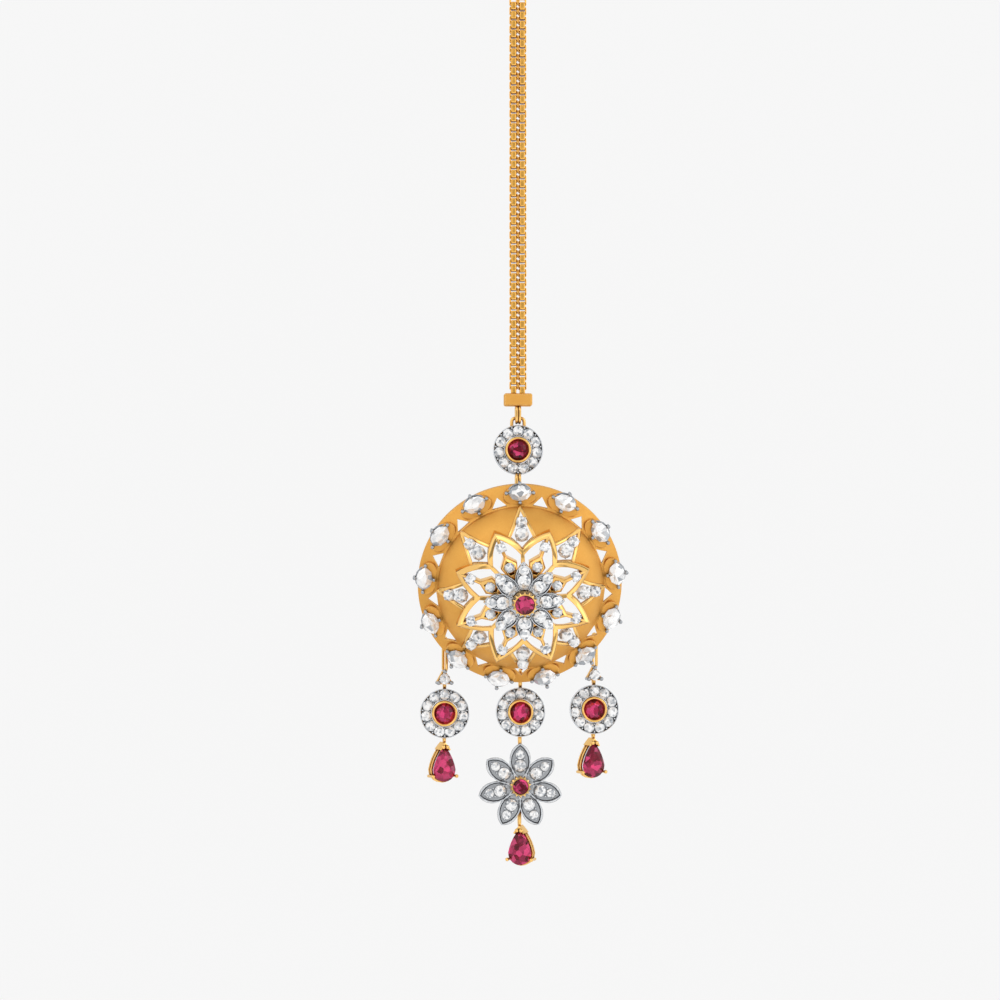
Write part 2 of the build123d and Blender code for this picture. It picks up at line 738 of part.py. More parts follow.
with BuildPart() as rim_settings:
    for k, place in enumerate(stone_places):
        with BuildSketch(MEDALLION.offset(POCKET_FLOOR + SEAT_GAP)) as gallery:
            with Locations(Location((place[0], place[1], 0), (0, 0, 360 * k / RIM_STONES))):
                add(marquise(RIM_STONE_HALF[0] + 0.15, RIM_STONE_HALF[1] + 0.15))
                add(marquise(*[0.65 * half for half in RIM_STONE_HALF]), mode=Mode.SUBTRACT)
        extrude(gallery.sketch, amount=0.28)
        with BuildSketch(MEDALLION.offset(POCKET_FLOOR + SEAT_GAP)) as claws:
            with Locations(Location((place[0], place[1], 0), (0, 0, 360 * k / RIM_STONES))):
                along = RIM_STONE_HALF[0] + RIM_CLAW_RADIUS + 0.03
                across = RIM_STONE_HALF[1] + RIM_CLAW_RADIUS + 0.03
                with Locations((along, 0), (-along, 0), (0, across), (0, -across)):
                    Circle(RIM_CLAW_RADIUS)
        extrude(claws.sketch, amount=RIM_CLAW_TOP - POCKET_FLOOR - SEAT_GAP)
export(rim_settings, "rim_settings")

for k, place in enumerate(stone_places):
    stone_face = Plane(
        origin=place_on(MEDALLION, *place),
        x_dir=place_on(MEDALLION, -place[1], place[0]) - MEDALLION.origin,
        z_dir=NORMAL,
    )
    with BuildPart() as rim_stone:
        levels = ((-0.4, 0.78), (0, 1.0), (0.6, 0.4))
        add_stone(
            stone_face,
            [
                (height, marquise(*[scale * half for half in RIM_STONE_HALF]))
                for height, scale in levels
            ],
        )
    export(rim_stone, f"rim_stone_{k + 1:02d}")


# ------------------------------------------------------------ drops
def make_pear(face, prefix, staple_crown):
    """A pear ruby in its basket, hung by its loop from a staple."""
    loop_top = staple_crown.Z + STAPLE_WIRE / 2 + RING_PLAY + HANG_LOOP[1]
    with BuildPart() as basket:
        add_pear_basket(face, loop_top, staple_crown.Y)
    export(basket, f"{prefix}_pear_basket")
    with BuildPart() as ruby:
        add_pear_stone(face)
    export(ruby, f"{prefix}_pear")


def staple_behind(face, down, back):
    """Where the crown of a staple on a piece's back lies, below its middle."""
    return face.origin - UP * down - FRONT * (STAPLE_STAND - back)


def make_halo(face, prefix, carrier):
    """A hung round cluster with its loop and the staple for the piece below."""
    below = staple_behind(face, HALO_STAPLE, HALO_BACK)
    loop_top = carrier.Z + STAPLE_WIRE / 2 + RING_PLAY + HANG_LOOP[1]
    with BuildPart() as halo:
        add_halo(face)
        add_loop(
            carrier.X, carrier.Y, loop_top, face.origin.Z + HALO_RADIUS - SOLDER, HANG_LOOP
        )
        add_staple(below, FRONT, STAPLE_LEGS)
    export(halo, f"{prefix}_halo")
    make_cluster_centre(face, prefix)
    return below


def below_hanger(crown, drop, turn=0.0):
    """The plane of a piece hung from a staple, its middle a given drop below."""
    return facing((crown.X, crown.Y - HANG_FORWARD, crown.Z - drop), turn)


for name, crown in (("left", drop_hangers[0]), ("right", drop_hangers[1])):
    face = below_hanger(crown, SIDE_CLAW_DROP, CLAW_STONE_TURN)
    carrier = staple_behind(face, CLAW_STAPLE, CLAW_CUP[0][1])
    with BuildPart() as claw_setting:
        add_turned(face, CLAW_CUP)
        claws = polar_places(3, CLAW_STONE_RADIUS + SEAT_GAP + CLAW_RADIUS)
        add_pins(face, claws, CLAW_RADIUS, CLAW_CUP[0][1], CLAW_TOP)
        bail_top = crown.Z + STAPLE_WIRE / 2 + RING_PLAY + SIDE_BAIL[1]
        add_loop(crown.X, crown.Y, bail_top, face.origin.Z + 1.0, SIDE_BAIL, SIDE_BAIL_TURN)
        add_staple(carrier, FRONT, STAPLE_LEGS)
    export(claw_setting, f"{name}_claw_setting")
    with BuildPart() as claw_diamond:
        add_round_stone(face, CLAW_STONE_RADIUS, girdle=0.0, crown=0.3, pavilion=0.7)
    export(claw_diamond, f"{name}_claw_diamond")
    halo_face = facing(
        (crown.X, carrier.Y - HANG_FORWARD, crown.Z - SIDE_HALO_DROP)
    )
    pear_hanger = make_halo(halo_face, name, carrier)
    pear_face = facing(
        (crown.X, pear_hanger.Y - HANG_FORWARD, crown.Z - SIDE_PEAR_DROP), PEAR_TURN
    )
    make_pear(pear_face, name, pear_hanger)

crown = drop_hangers[2]
halo_face = below_hanger(crown, CENTRE_HALO_DROP)
flower_hanger = make_halo(halo_face, "centre", crown)

flower_face = facing(
    (crown.X, flower_hanger.Y - HANG_FORWARD, crown.Z - CENTRE_FLOWER_DROP)
)
pear_hanger = staple_behind(flower_face, FLOWER_STAPLE, FLOWER_BACK)
petal_plan = leaf(1.0, FLOWER_TIP, FLOWER_HALF_WIDTH)
with BuildPart() as flower:
    with BuildSketch(flower_face.offset(FLOWER_BACK)):
        with PolarLocations(0, FLOWER_PETALS, start_angle=90):
            add(petal_plan)
        Circle(2.3)
    extrude(amount=FLOWER_TOP - FLOWER_BACK)
    with BuildSketch(flower_face.offset(FLOWER_TOP - FLOWER_RIM[1])) as pave_floor:
        with PolarLocations(0, FLOWER_PETALS, start_angle=90):
            add(grown(petal_plan, -FLOWER_RIM[0]))
        Circle(2.25, mode=Mode.SUBTRACT)
    extrude(amount=1, mode=Mode.SUBTRACT)
    for circle, seat in FLOWER_STONES:
        seats = polar_places(FLOWER_PETALS, circle)
        add_pins(flower_face, seats, seat, FLOWER_BACK - 0.1, FLOWER_TOP + 0.1, Mode.SUBTRACT)
    loop_top = flower_hanger.Z + STAPLE_WIRE / 2 + RING_PLAY + HANG_LOOP[1]
    add_loop(
        flower_hanger.X,
        flower_hanger.Y,
        loop_top,
        flower_face.origin.Z + FLOWER_TIP - 0.7,
        HANG_LOOP,
    )
    add_staple(pear_hanger, FRONT, STAPLE_LEGS)
export(flower, "flower")

with BuildPart() as flower_claws:
    add_claw_crown(
        flower_face,
        FLOWER_RUBY_RADIUS,
        FLOWER_TOP + SEAT_GAP,
        FLOWER_RUBY_GIRDLE,
        claws=FLOWER_PETALS,
        claw_radius=0.2,
    )
export(flower_claws, "flower_claws")

with BuildPart() as flower_ruby:
    add_round_stone(
        flower_face, FLOWER_RUBY_RADIUS, FLOWER_RUBY_GIRDLE, crown=0.42, pavilion=0.95
    )
export(flower_ruby, "flower_ruby")

pear_face = facing(
    (crown.X, pear_hanger.Y - HANG_FORWARD, crown.Z - CENTRE_PEAR_DROP), -PEAR_TURN
)
make_pear(pear_face, "centre", pear_hanger)
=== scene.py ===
"""Maang tikka: the looks of a gold, ruby and diamond hair jewel, built round its CAD frame.

Every length in the classes below is in millimetres, in the jewel's own frame: +Z up the
chain, -Y the way the jewel faces, +X to the right of someone looking at it.
"""

import json
import logging
import math
from collections.abc import Callable, Sequence
from dataclasses import dataclass
from enum import Enum

import bmesh
import bpy
from mathutils import Matrix, Vector

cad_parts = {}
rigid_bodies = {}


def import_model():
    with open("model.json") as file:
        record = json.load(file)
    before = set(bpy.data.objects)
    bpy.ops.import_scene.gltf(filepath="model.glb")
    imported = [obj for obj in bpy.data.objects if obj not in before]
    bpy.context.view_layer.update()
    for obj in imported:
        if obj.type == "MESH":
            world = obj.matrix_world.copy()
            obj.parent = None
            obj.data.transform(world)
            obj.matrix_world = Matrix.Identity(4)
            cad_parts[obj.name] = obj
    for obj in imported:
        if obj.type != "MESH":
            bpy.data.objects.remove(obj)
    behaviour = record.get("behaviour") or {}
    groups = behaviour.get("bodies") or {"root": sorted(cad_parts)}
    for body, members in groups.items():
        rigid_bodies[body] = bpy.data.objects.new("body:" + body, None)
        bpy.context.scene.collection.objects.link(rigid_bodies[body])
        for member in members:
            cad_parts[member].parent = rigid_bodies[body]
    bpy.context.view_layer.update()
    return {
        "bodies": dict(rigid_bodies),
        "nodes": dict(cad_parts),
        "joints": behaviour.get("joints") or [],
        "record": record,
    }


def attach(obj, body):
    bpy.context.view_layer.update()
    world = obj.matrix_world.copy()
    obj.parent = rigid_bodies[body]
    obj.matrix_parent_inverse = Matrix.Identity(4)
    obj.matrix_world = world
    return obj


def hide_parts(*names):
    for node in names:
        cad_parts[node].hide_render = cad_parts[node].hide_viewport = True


LOG = logging.getLogger("maang_tikka")
MM = 0.001
TURN = 2 * math.pi

# Points nearer than this along a path are taken as one.
SAME_SPOT = 1e-9
# A mitre is drawn out no further than this many widths.
LONGEST_MITRE = 2.2
# Runs in an arc from which heights are read.
PROFILE_RUNS = 24

Flat = tuple[float, float]
Place = tuple[float, float, float]
Colour = tuple[float, float, float, float]
Points = list[Vector]
Faces = list[tuple[int, ...]]
Solid = tuple[Points, Faces]
Height = Callable[[float, float], float]
Tree = bpy.types.NodeTree
Node = bpy.types.Node
Socket = bpy.types.NodeSocket

UP = Vector((0, 0, 1))
FRONT = Vector((0, -1, 0))


# ---------------------------------------------------------------- places and outlines
@dataclass(frozen=True)
class Face:
    """A place on the jewel and the way it looks: x across, y up it, z out of it."""

    origin: Vector
    x_dir: Vector
    z_dir: Vector

    @property
    def y_dir(self) -> Vector:
        """The way up the face."""
        return self.z_dir.cross(self.x_dir)

    def at(self, x: float, y: float, height: float = 0.0) -> Vector:
        """The point of the jewel's frame at a place on the face."""
        return self.origin + self.x_dir * x + self.y_dir * y + self.z_dir * height

    def matrix(self) -> Matrix:
        """The matrix from the face's own millimetres to the frame's millimetres."""
        turned = Matrix((self.x_dir, self.y_dir, self.z_dir)).transposed()
        return Matrix.Translation(self.origin) @ turned.to_4x4()


def facing(point: Vector, turn: float = 0.0) -> Face:
    """A face that looks to the front.

    Args:
        point: Its middle.
        turn: Its turn about the vertical, in degrees.

    Returns:
        The face.
    """
    angle = math.radians(turn)
    x_dir = Vector((math.cos(angle), math.sin(angle), 0))
    return Face(Vector(point), x_dir, Vector((math.sin(angle), -math.cos(angle), 0)))


def polar(radius: float, angle: float) -> Flat:
    """A flat point from its radius and its angle in radians."""
    return radius * math.cos(angle), radius * math.sin(angle)


def arc(start: Flat, middle: Flat, end: Flat, steps: int) -> list[Flat]:
    """Points along the circle through three points, both ends included.

    Args:
        start: First point.
        middle: A point between.
        end: Last point.
        steps: Number of runs between the points.

    Returns:
        The points in order.
    """
    (ax, ay), (bx, by), (cx, cy) = start, middle, end
    d = 2 * (ax * (by - cy) + bx * (cy - ay) + cx * (ay - by))
    a2, b2, c2 = ax * ax + ay * ay, bx * bx + by * by, cx * cx + cy * cy
    ox = (a2 * (by - cy) + b2 * (cy - ay) + c2 * (ay - by)) / d
    oy = (a2 * (cx - bx) + b2 * (ax - cx) + c2 * (bx - ax)) / d
    first, last = math.atan2(ay - oy, ax - ox), math.atan2(cy - oy, cx - ox)
    sweep = (last - first) % TURN
    if (math.atan2(by - oy, bx - ox) - first) % TURN > sweep:
        sweep -= TURN
    radius = math.hypot(ax - ox, ay - oy)
    places = [polar(radius, first + sweep * k / steps) for k in range(steps + 1)]
    return [(ox + x, oy + y) for x, y in places]


def circle_height(points: Sequence[Flat], radius: float) -> float:
    """The height of a profile arc at a radius.

    Args:
        points: An end, a middle point and the other end, each as (radius, height).
        radius: Where the height is read.

    Returns:
        The height, or that of the outer end beyond it.
    """
    run = sorted(arc(points[0], points[1], points[2], PROFILE_RUNS))
    for (r0, h0), (r1, h1) in zip(run, run[1:]):
        if radius <= r1:
            return h0 + (h1 - h0) * (radius - r0) / (r1 - r0)
    return run[-1][1]


def marquise(half_length: float, half_width: float, steps: int = 6) -> list[Flat]:
    """A pointed oval along x, anticlockwise from its right-hand tip."""
    upper = arc((half_length, 0), (0, half_width), (-half_length, 0), steps)
    return upper[:-1] + [(-x, -y) for x, y in upper[:-1]]


def leaf(base: float, tip: float, half_width: float, steps: int = 8) -> list[Flat]:
    """A pointed petal along x from its base to its tip."""
    middle = (base + tip) / 2
    return [(x + middle, y) for x, y in marquise((tip - base) / 2, half_width, steps)]


def pear(length: float, width: float, steps: int = 5) -> list[Flat]:
    """A pear outline about its middle, anticlockwise from its point at the top.

    Args:
        length: Its height.
        width: Its width.
        steps: Runs in each of its upper sides.

    Returns:
        The outline.
    """
    tip, half = length / 2, width / 2
    low = half - tip
    shoulder = 0.68 * half
    left = arc((0, tip), (-shoulder, low + half), (-half, low), steps)
    below = arc((-half, low), (0, -tip), (half, low), 2 * steps)
    right = arc((half, low), (shoulder, low + half), (0, tip), steps)
    return left[:-1] + below[:-1] + right[:-1]


def cut_corners(long: float, deep: float, cut: float) -> list[Flat]:
    """A rectangle with its corners cut, anticlockwise about its middle.

    Args:
        long: Its length.
        deep: Its depth.
        cut: How much of each side the cut takes.

    Returns:
        The outline.
    """
    x, y = long / 2, deep / 2
    front = [(-x, cut - y), (cut - x, -y), (x - cut, -y), (x, cut - y)]
    return front + [(-px, -py) for px, py in front]


def turned(outline: Sequence[Flat], angle: float) -> list[Flat]:
    """An outline turned about the middle of its face."""
    c, s = math.cos(angle), math.sin(angle)
    return [(x * c - y * s, x * s + y * c) for x, y in outline]


def mitres(path: Sequence[Flat], closed: bool) -> list[Flat]:
    """The way to the left at each point, long enough to keep a band's width at corners.

    Args:
        path: Points of the path.
        closed: Whether the last point joins the first.

    Returns:
        One vector for each point.
    """
    count = len(path)
    ways = []
    for k in range(count):
        before = path[k - 1] if closed or k else path[0]
        after = path[(k + 1) % count] if closed or k < count - 1 else path[k]
        sides = []
        for p, q in ((before, path[k]), (path[k], after)):
            run = math.hypot(q[0] - p[0], q[1] - p[1])
            if run > SAME_SPOT:
                sides.append((-(q[1] - p[1]) / run, (q[0] - p[0]) / run))
        x, y = sum(s[0] for s in sides), sum(s[1] for s in sides)
        size = math.hypot(x, y) or 1.0
        x, y = x / size, y / size
        match = x * sides[0][0] + y * sides[0][1]
        grow = 1 / match if match > 1 / LONGEST_MITRE else LONGEST_MITRE
        ways.append((x * grow, y * grow))
    return ways


def inset(outline: Sequence[Flat], amount: float) -> list[Flat]:
    """An anticlockwise outline drawn inwards by an amount."""
    ways = mitres(outline, closed=True)
    return [(x + mx * amount, y + my * amount) for (x, y), (mx, my) in zip(outline, ways)]


# ---------------------------------------------------------------- solids
def strips(rings: Sequence[Sequence[Vector]], closed: bool) -> Solid:
    """Quads between rings of points that each close on themselves.

    Args:
        rings: Rings with the same number of points.
        closed: Whether the last ring joins the first; if not, both ends are capped.

    Returns:
        The solid.
    """
    count, width = len(rings), len(rings[0])
    points = [Vector(p) for ring in rings for p in ring]
    faces: Faces = []
    for k in range(count if closed else count - 1):
        a, b = k * width, (k + 1) % count * width
        for j in range(width):
            n = (j + 1) % width
            faces.append((a + j, a + n, b + n, b + j))
    if not closed:
        faces.append(tuple(reversed(range(width))))
        faces.append(tuple(range((count - 1) * width, count * width)))
    return points, faces


def slab(outline: Sequence[Flat], levels: Sequence[Flat]) -> Solid:
    """An outline carried up through levels and capped at both ends.

    Args:
        outline: The outline, anticlockwise.
        levels: How far it is drawn inwards, and the height, from the bottom up.

    Returns:
        The solid.
    """
    rings = []
    for amount, height in levels:
        rings.append([Vector((x, y, height)) for x, y in inset(outline, amount)])
    return strips(rings, closed=False)


def turned_ring(profile: Sequence[Flat], sides: int) -> Solid:
    """A closed profile turned about z.

    Args:
        profile: Its points as (radius, height), anticlockwise.
        sides: Number of sides.

    Returns:
        The solid.
    """
    rings = []
    for k in range(sides):
        rings.append([Vector((*polar(r, TURN * k / sides), h)) for r, h in profile])
    points, faces = strips(rings, closed=True)
    return points, [tuple(reversed(f)) for f in faces]


def turned_solid(profile: Sequence[Flat], sides: int) -> Solid:
    """A profile turned about z and capped at both ends.

    Args:
        profile: Its points as (radius, height), from the bottom up.
        sides: Number of sides.

    Returns:
        The solid.
    """
    rings = []
    for radius, height in profile:
        rings.append([Vector((*polar(radius, TURN * k / sides), height)) for k in range(sides)])
    return strips(rings, closed=False)


def ball(radius: float, squash: float, sides: int = 12, rows: int = 5) -> Solid:
    """A small round head.

    Args:
        radius: Half its width.
        squash: Its height as a share of its width.
        sides: Number of sides.
        rows: Rows of faces from its middle to its top.

    Returns:
        The solid about its middle.
    """
    profile = []
    for k in range(1, 2 * rows):
        across, up = polar(radius, math.pi * (k / (2 * rows) - 0.5))
        profile.append((across, squash * up))
    return turned_solid(profile, sides)


def tube(route: Sequence[Vector], radius: float, sides: int = 12) -> Solid:
    """A round wire along an open route.

    Args:
        route: Points that the wire's middle goes through.
        radius: Half the wire's thickness.
        sides: Number of sides of its section.

    Returns:
        The solid.
    """
    last = len(route) - 1
    normal = (route[1] - route[0]).normalized().orthogonal().normalized()
    section = [polar(radius, TURN * j / sides) for j in range(sides)]
    rings = []
    for k, point in enumerate(route):
        along = (route[min(k + 1, last)] - route[max(k - 1, 0)]).normalized()
        normal = (normal - along * normal.dot(along)).normalized()
        other = along.cross(normal)
        rings.append([point + normal * c + other * s for c, s in section])
    return strips(rings, closed=False)


def rounded_route(corners: Sequence[Vector], radius: float, steps: int = 5) -> Points:
    """A route with its inner corners rounded.

    Args:
        corners: Its corner points, ends included.
        radius: How far before and after a corner the bend starts.
        steps: Runs in each bend.

    Returns:
        The points of the route.
    """
    longest = 0.49
    route = [corners[0]]
    for before, corner, after in zip(corners, corners[1:], corners[2:]):
        back, on = before - corner, after - corner
        reach = min(radius, back.length * longest, on.length * longest)
        start = corner + back.normalized() * reach
        end = corner + on.normalized() * reach
        for k in range(steps + 1):
            t = k / steps
            route.append(start * (1 - t) ** 2 + corner * 2 * t * (1 - t) + end * t * t)
    route.append(corners[-1])
    return route


@dataclass(frozen=True)
class Band:
    """A band that stands on a face along a path, with soft upper edges."""

    width: float
    top: Height
    bottom: Height
    soft: float = 0.08
    shoulder: float = 0.3

    def along(self, path: Sequence[Flat], closed: bool) -> Solid:
        """The band to the left of a path.

        Args:
            path: Points of its right-hand edge.
            closed: Whether the path closes on itself.

        Returns:
            The solid.
        """
        share = self.shoulder * self.soft
        near = ((0, None), (0, -self.soft), (share, -share), (self.soft, 0))
        far = [(self.width - side, drop) for side, drop in reversed(near)]
        rings = []
        for (x, y), (mx, my) in zip(path, mitres(path, closed)):
            ring = []
            for side, drop in (*near, *far):
                px, py = x + mx * side, y + my * side
                height = self.bottom(px, py) if drop is None else self.top(px, py) + drop
                ring.append(Vector((px, py, height)))
            rings.append(ring)
        return strips(rings, closed)


# ---------------------------------------------------------------- cut stones
@dataclass(frozen=True)
class Cut:
    """The facets of a brilliant, as shares of its outline and of half its width."""

    table: float = 0.56
    star: float = 0.8
    star_rise: float = 0.55
    crown: float = 0.28
    girdle: float = 0.05
    pavilion: float = 0.8
    lower: float = 0.3
    lower_depth: float = 0.86

    def faceted(self, outline: Sequence[Flat], size: float, culet: Flat = (0.0, 0.0)) -> Solid:
        """A brilliant over an outline of an even number of points.

        Args:
            outline: The girdle, anticlockwise, its corners at even points.
            size: Half the stone's width, which its heights are shares of.
            culet: Where the facets below it meet.

        Returns:
            The solid, its girdle at height 0.
        """
        count = len(outline)
        half = count // 2
        cx, cy = culet

        def ring(share: float, height: float, places: Sequence[int]) -> Points:
            """Corners of facets.

            Args:
                share: Their distance from the culet's axis, as a share of the outline's.
                height: Their height as a share of the stone's size.
                places: Which of the outline's points they lie under or over.

            Returns:
                The points.
            """
            made = []
            for k in places:
                x, y = outline[k % count]
                made.append(Vector((cx + (x - cx) * share, cy + (y - cy) * share, height * size)))
            return made

        even, odd = range(0, count, 2), range(1, count, 2)
        points = ring(self.table, self.girdle + self.crown, odd)
        points += ring(self.star, self.girdle + self.star_rise * self.crown, even)
        points += ring(1.0, self.girdle, range(count))
        points += ring(1.0, 0.0, range(count))
        points += ring(self.lower, -self.lower_depth * self.pavilion, even)
        points.append(Vector((cx, cy, -self.pavilion * size)))
        star, upper, under = half, 2 * half, 2 * half + count
        mains, tip = under + count, under + count + half
        faces: Faces = [tuple(range(half))]
        for k in range(half):
            after = (k + 1) % half
            mid, corner, last = 2 * k + 1, 2 * k, (2 * k + 2) % count
            faces += [
                (k, star + after, after),
                (k, star + k, upper + mid),
                (k, upper + mid, star + after),
                (star + k, upper + corner, upper + mid),
                (star + after, upper + mid, upper + last),
                (mains + k, under + mid, under + corner),
                (mains + after, under + last, under + mid),
                (tip, mains + after, under + mid, mains + k),
            ]
        for k in range(count):
            after = (k + 1) % count
            faces.append((upper + k, under + k, under + after, upper + after))
        return points, faces

    def round(self, radius: float, sides: int = 16) -> Solid:
        """A round brilliant."""
        outline = [polar(radius, TURN * k / sides) for k in range(sides)]
        return self.faceted(outline, radius)


@dataclass(frozen=True)
class RoseCut:
    """A stone that is flat below and domed above in three-sided facets.

    Its shoulder and crest are given as (share of the outline, share of the height), and its
    base as (share of the outline, height).
    """

    height: float = 0.62
    edge: float = 0.08
    shoulder: Flat = (0.68, 0.66)
    crest: Flat = (0.34, 1.0)
    base: Flat = (0.4, -0.42)

    def faceted(self, outline: Sequence[Flat]) -> Solid:
        """The stone over an outline.

        Args:
            outline: The girdle, anticlockwise, with an even number of points.

        Returns:
            The solid, its girdle at height 0.
        """
        count = len(outline)
        half = count // 2

        def ring(share: float, height: float, step: int = 1) -> Points:
            """The outline drawn smaller at a height, with every point or every second one."""
            return [Vector((x * share, y * share, height)) for x, y in outline[::step]]

        points = ring(*self.base) + ring(1.0, 0.0) + ring(1.0, self.edge)
        points += ring(self.shoulder[0], self.shoulder[1] * self.height, 2)
        points += ring(self.crest[0], self.crest[1] * self.height)[1::2]
        low, upper, shoulder, crest = count, 2 * count, 3 * count, 3 * count + half
        faces: Faces = [tuple(reversed(range(count))), tuple(range(crest, crest + half))]
        for k in range(count):
            after = (k + 1) % count
            faces.append((k, after, low + after, low + k))
            faces.append((low + k, low + after, upper + after, upper + k))
        for k in range(half):
            after = (k + 1) % half
            a, b, c = 2 * k, 2 * k + 1, (2 * k + 2) % count
            faces += [
                (upper + a, upper + b, shoulder + k),
                (upper + b, shoulder + after, shoulder + k),
                (upper + b, upper + c, shoulder + after),
                (shoulder + k, shoulder + after, crest + k),
                (shoulder + after, crest + after, crest + k),
            ]
        return points, faces


# ---------------------------------------------------------------- shader nodes
# Numbers of sockets whose names are not their own: a mix's share and colours, a range's ends.
SHARE, FIRST, SECOND = 0, 6, 7
FROM_LOW, FROM_HIGH, TO_LOW, TO_HIGH = 1, 2, 3, 4
# Rays a spot sends out to find how open it is.
OPEN_RAYS = 6
# The middle part of a noise, where nearly all its values lie.
NOISE_SPAN = {FROM_LOW: 0.3, FROM_HIGH: 0.7}


def linear(code: str) -> Colour:
    """A linear colour from an sRGB one.

    Args:
        code: The hex code, such as "#D9A24C".

    Returns:
        Red, green, blue and full opacity.
    """
    parts = [int(code[k : k + 2], 16) / 255 for k in (1, 3, 5)]
    r, g, b = [p / 12.92 if p <= 0.04045 else ((p + 0.055) / 1.055) ** 2.4 for p in parts]
    return r, g, b, 1.0


def add_node(tree: Tree, kind: str, inputs: dict | None = None, **settings: object) -> Node:
    """Adds a node with its settings, values and links.

    Args:
        tree: The node tree.
        kind: The node's type.
        inputs: Values or sockets by input name or number.
        **settings: The node's own properties.

    Returns:
        The node.
    """
    made = tree.nodes.new(kind)
    for key, value in settings.items():
        setattr(made, key, value)
    for key, value in (inputs or {}).items():
        if isinstance(value, Socket):
            tree.links.new(value, made.inputs[key])
        else:
            made.inputs[key].default_value = value
    return made


@dataclass(frozen=True)
class Finish:
    """What a surface is made of and how it was worked."""

    name: str
    slot: str
    colour: str
    roughness: float
    metallic: float = 1.0

    def material(self) -> bpy.types.Material:
        """The material of this name, made the first time it is asked for.

        Returns:
            The material.
        """
        known = bpy.data.materials.get(self.name)
        if known:
            return known
        made = bpy.data.materials.new(self.name)
        made.use_nodes = True
        made.node_tree.nodes.clear()
        shader = self.shade(made.node_tree)
        add_node(made.node_tree, "ShaderNodeOutputMaterial", {"Surface": shader.outputs[0]})
        return made

    def shade(self, tree: Tree) -> Node:
        """The finish's shader; each kind of finish has its own."""
        raise NotImplementedError(self.name)


@dataclass(frozen=True)
class Metal(Finish):
    """Metal with painted shade: its colour is darkened in its crevices, by how closed in they are.

    A place counts as a crevice by how open it is within a short reach; the two shares are
    those at which it is darkest and at which it is clear.
    """

    crevice: str = "#8E5008"
    crevice_mm: float = 0.7
    open_share: Flat = (0.35, 0.92)

    def surface(self, tree: Tree, colour: Colour | Socket, rough: Socket, relief: dict) -> Node:
        """The shader that both ways of working metal end in.

        Args:
            tree: The material's node tree.
            colour: The metal's colour before the painted shade.
            rough: Its roughness.
            relief: What the bump node takes: height, softened edges, strength and distance.

        Returns:
            The shader.
        """
        # Painted shade: the colour darkens where little open air lies within reach.
        reach = {"Distance": self.crevice_mm * MM}
        air = add_node(tree, "ShaderNodeAmbientOcclusion", reach, samples=OPEN_RAYS)
        low, high = self.open_share
        ramp = {FROM_LOW: low, FROM_HIGH: high, TO_LOW: 1.0, TO_HIGH: 0.0}
        ramp["Value"] = air.outputs["AO"]
        share = add_node(tree, "ShaderNodeMapRange", ramp).outputs[0]
        mix = {SHARE: share, FIRST: colour, SECOND: linear(self.crevice)}
        shaded = add_node(tree, "ShaderNodeMix", mix, data_type="RGBA").outputs[2]
        bump = add_node(tree, "ShaderNodeBump", relief).outputs[0]
        values = {"Base Color": shaded, "Metallic": self.metallic}
        values |= {"Roughness": rough, "Normal": bump}
        return add_node(tree, "ShaderNodeBsdfPrincipled", values)


@dataclass(frozen=True)
class SatinMetal(Metal):
    """Metal matted with a wire brush: soft broad highlights and a faint grain.

    The brush's own scratches are about 0.05 mm wide, too fine to show, so the grain is drawn
    coarser. The edges are rubbed smoother than the faces between them, and painted lighter as a
    highlight.
    """

    shade_colour: str = "#D89D49"
    # The edges' lighter colour is a painted highlight.
    edge_colour: str = "#F8D592"
    edge_roughness: float = 0.16
    edge_mm: float = 0.13
    edge_rays: int = 6
    edge_match: Flat = (0.995, 0.8)
    grain_mm: float = 0.22
    grain_depth_mm: float = 0.02
    grain_strength: float = 0.25
    roughness_swing: float = 0.07
    mottle_mm: float = 2.4
    # Its painted shade in crevices is lighter and reaches less far.
    crevice: str = "#A2620E"
    crevice_mm: float = 0.5
    open_share: Flat = (0.25, 0.7)

    def shade(self, tree: Tree) -> Node:
        """Grain and slight mottling, with the edges rubbed smoother and painted lighter as a
        highlight.

        Args:
            tree: The material's node tree.

        Returns:
            The shader.
        """
        place = add_node(tree, "ShaderNodeTexCoord").outputs["Object"]
        noises = []
        for size_mm, detail in ((self.grain_mm, 2.0), (self.mottle_mm, 3.0)):
            values = {"Vector": place, "Scale": 1 / (size_mm * MM), "Detail": detail}
            noises.append(add_node(tree, "ShaderNodeTexNoise", values).outputs["Fac"])
        grain, mottle = noises
        radius = {"Radius": self.edge_mm * MM}
        soft = add_node(tree, "ShaderNodeBevel", radius, samples=self.edge_rays).outputs[0]
        flat = add_node(tree, "ShaderNodeNewGeometry").outputs["Normal"]
        match = add_node(tree, "ShaderNodeVectorMath", {0: soft, 1: flat}, operation="DOT_PRODUCT")
        # The edges, found by the softened normal, are smoother, and lighter as a painted highlight.
        face, edge = self.edge_match
        ramp = {"Value": match.outputs["Value"], FROM_LOW: face, FROM_HIGH: edge}
        rubbed_and_highlit = add_node(tree, "ShaderNodeMapRange", ramp).outputs[0]
        colour: Colour | Socket = linear(self.colour)
        # Random mottling, then the painted highlight that lightens the edges.
        for share, other in ((mottle, self.shade_colour), (rubbed_and_highlit, self.edge_colour)):
            mix = {SHARE: share, FIRST: colour, SECOND: linear(other)}
            colour = add_node(tree, "ShaderNodeMix", mix, data_type="RGBA").outputs[2]
        middle, swing = self.roughness, self.roughness_swing
        ramp = {"Value": grain, **NOISE_SPAN, TO_LOW: middle - swing, TO_HIGH: middle + swing}
        rough = add_node(tree, "ShaderNodeMapRange", ramp).outputs[0]
        mix = {SHARE: rubbed_and_highlit, "A": rough, "B": self.edge_roughness}
        rough = add_node(tree, "ShaderNodeMix", mix, data_type="FLOAT").outputs[0]
        relief = {"Strength": self.grain_strength, "Distance": self.grain_depth_mm * MM}
        return self.surface(tree, colour, rough, {"Height": grain, "Normal": soft, **relief})


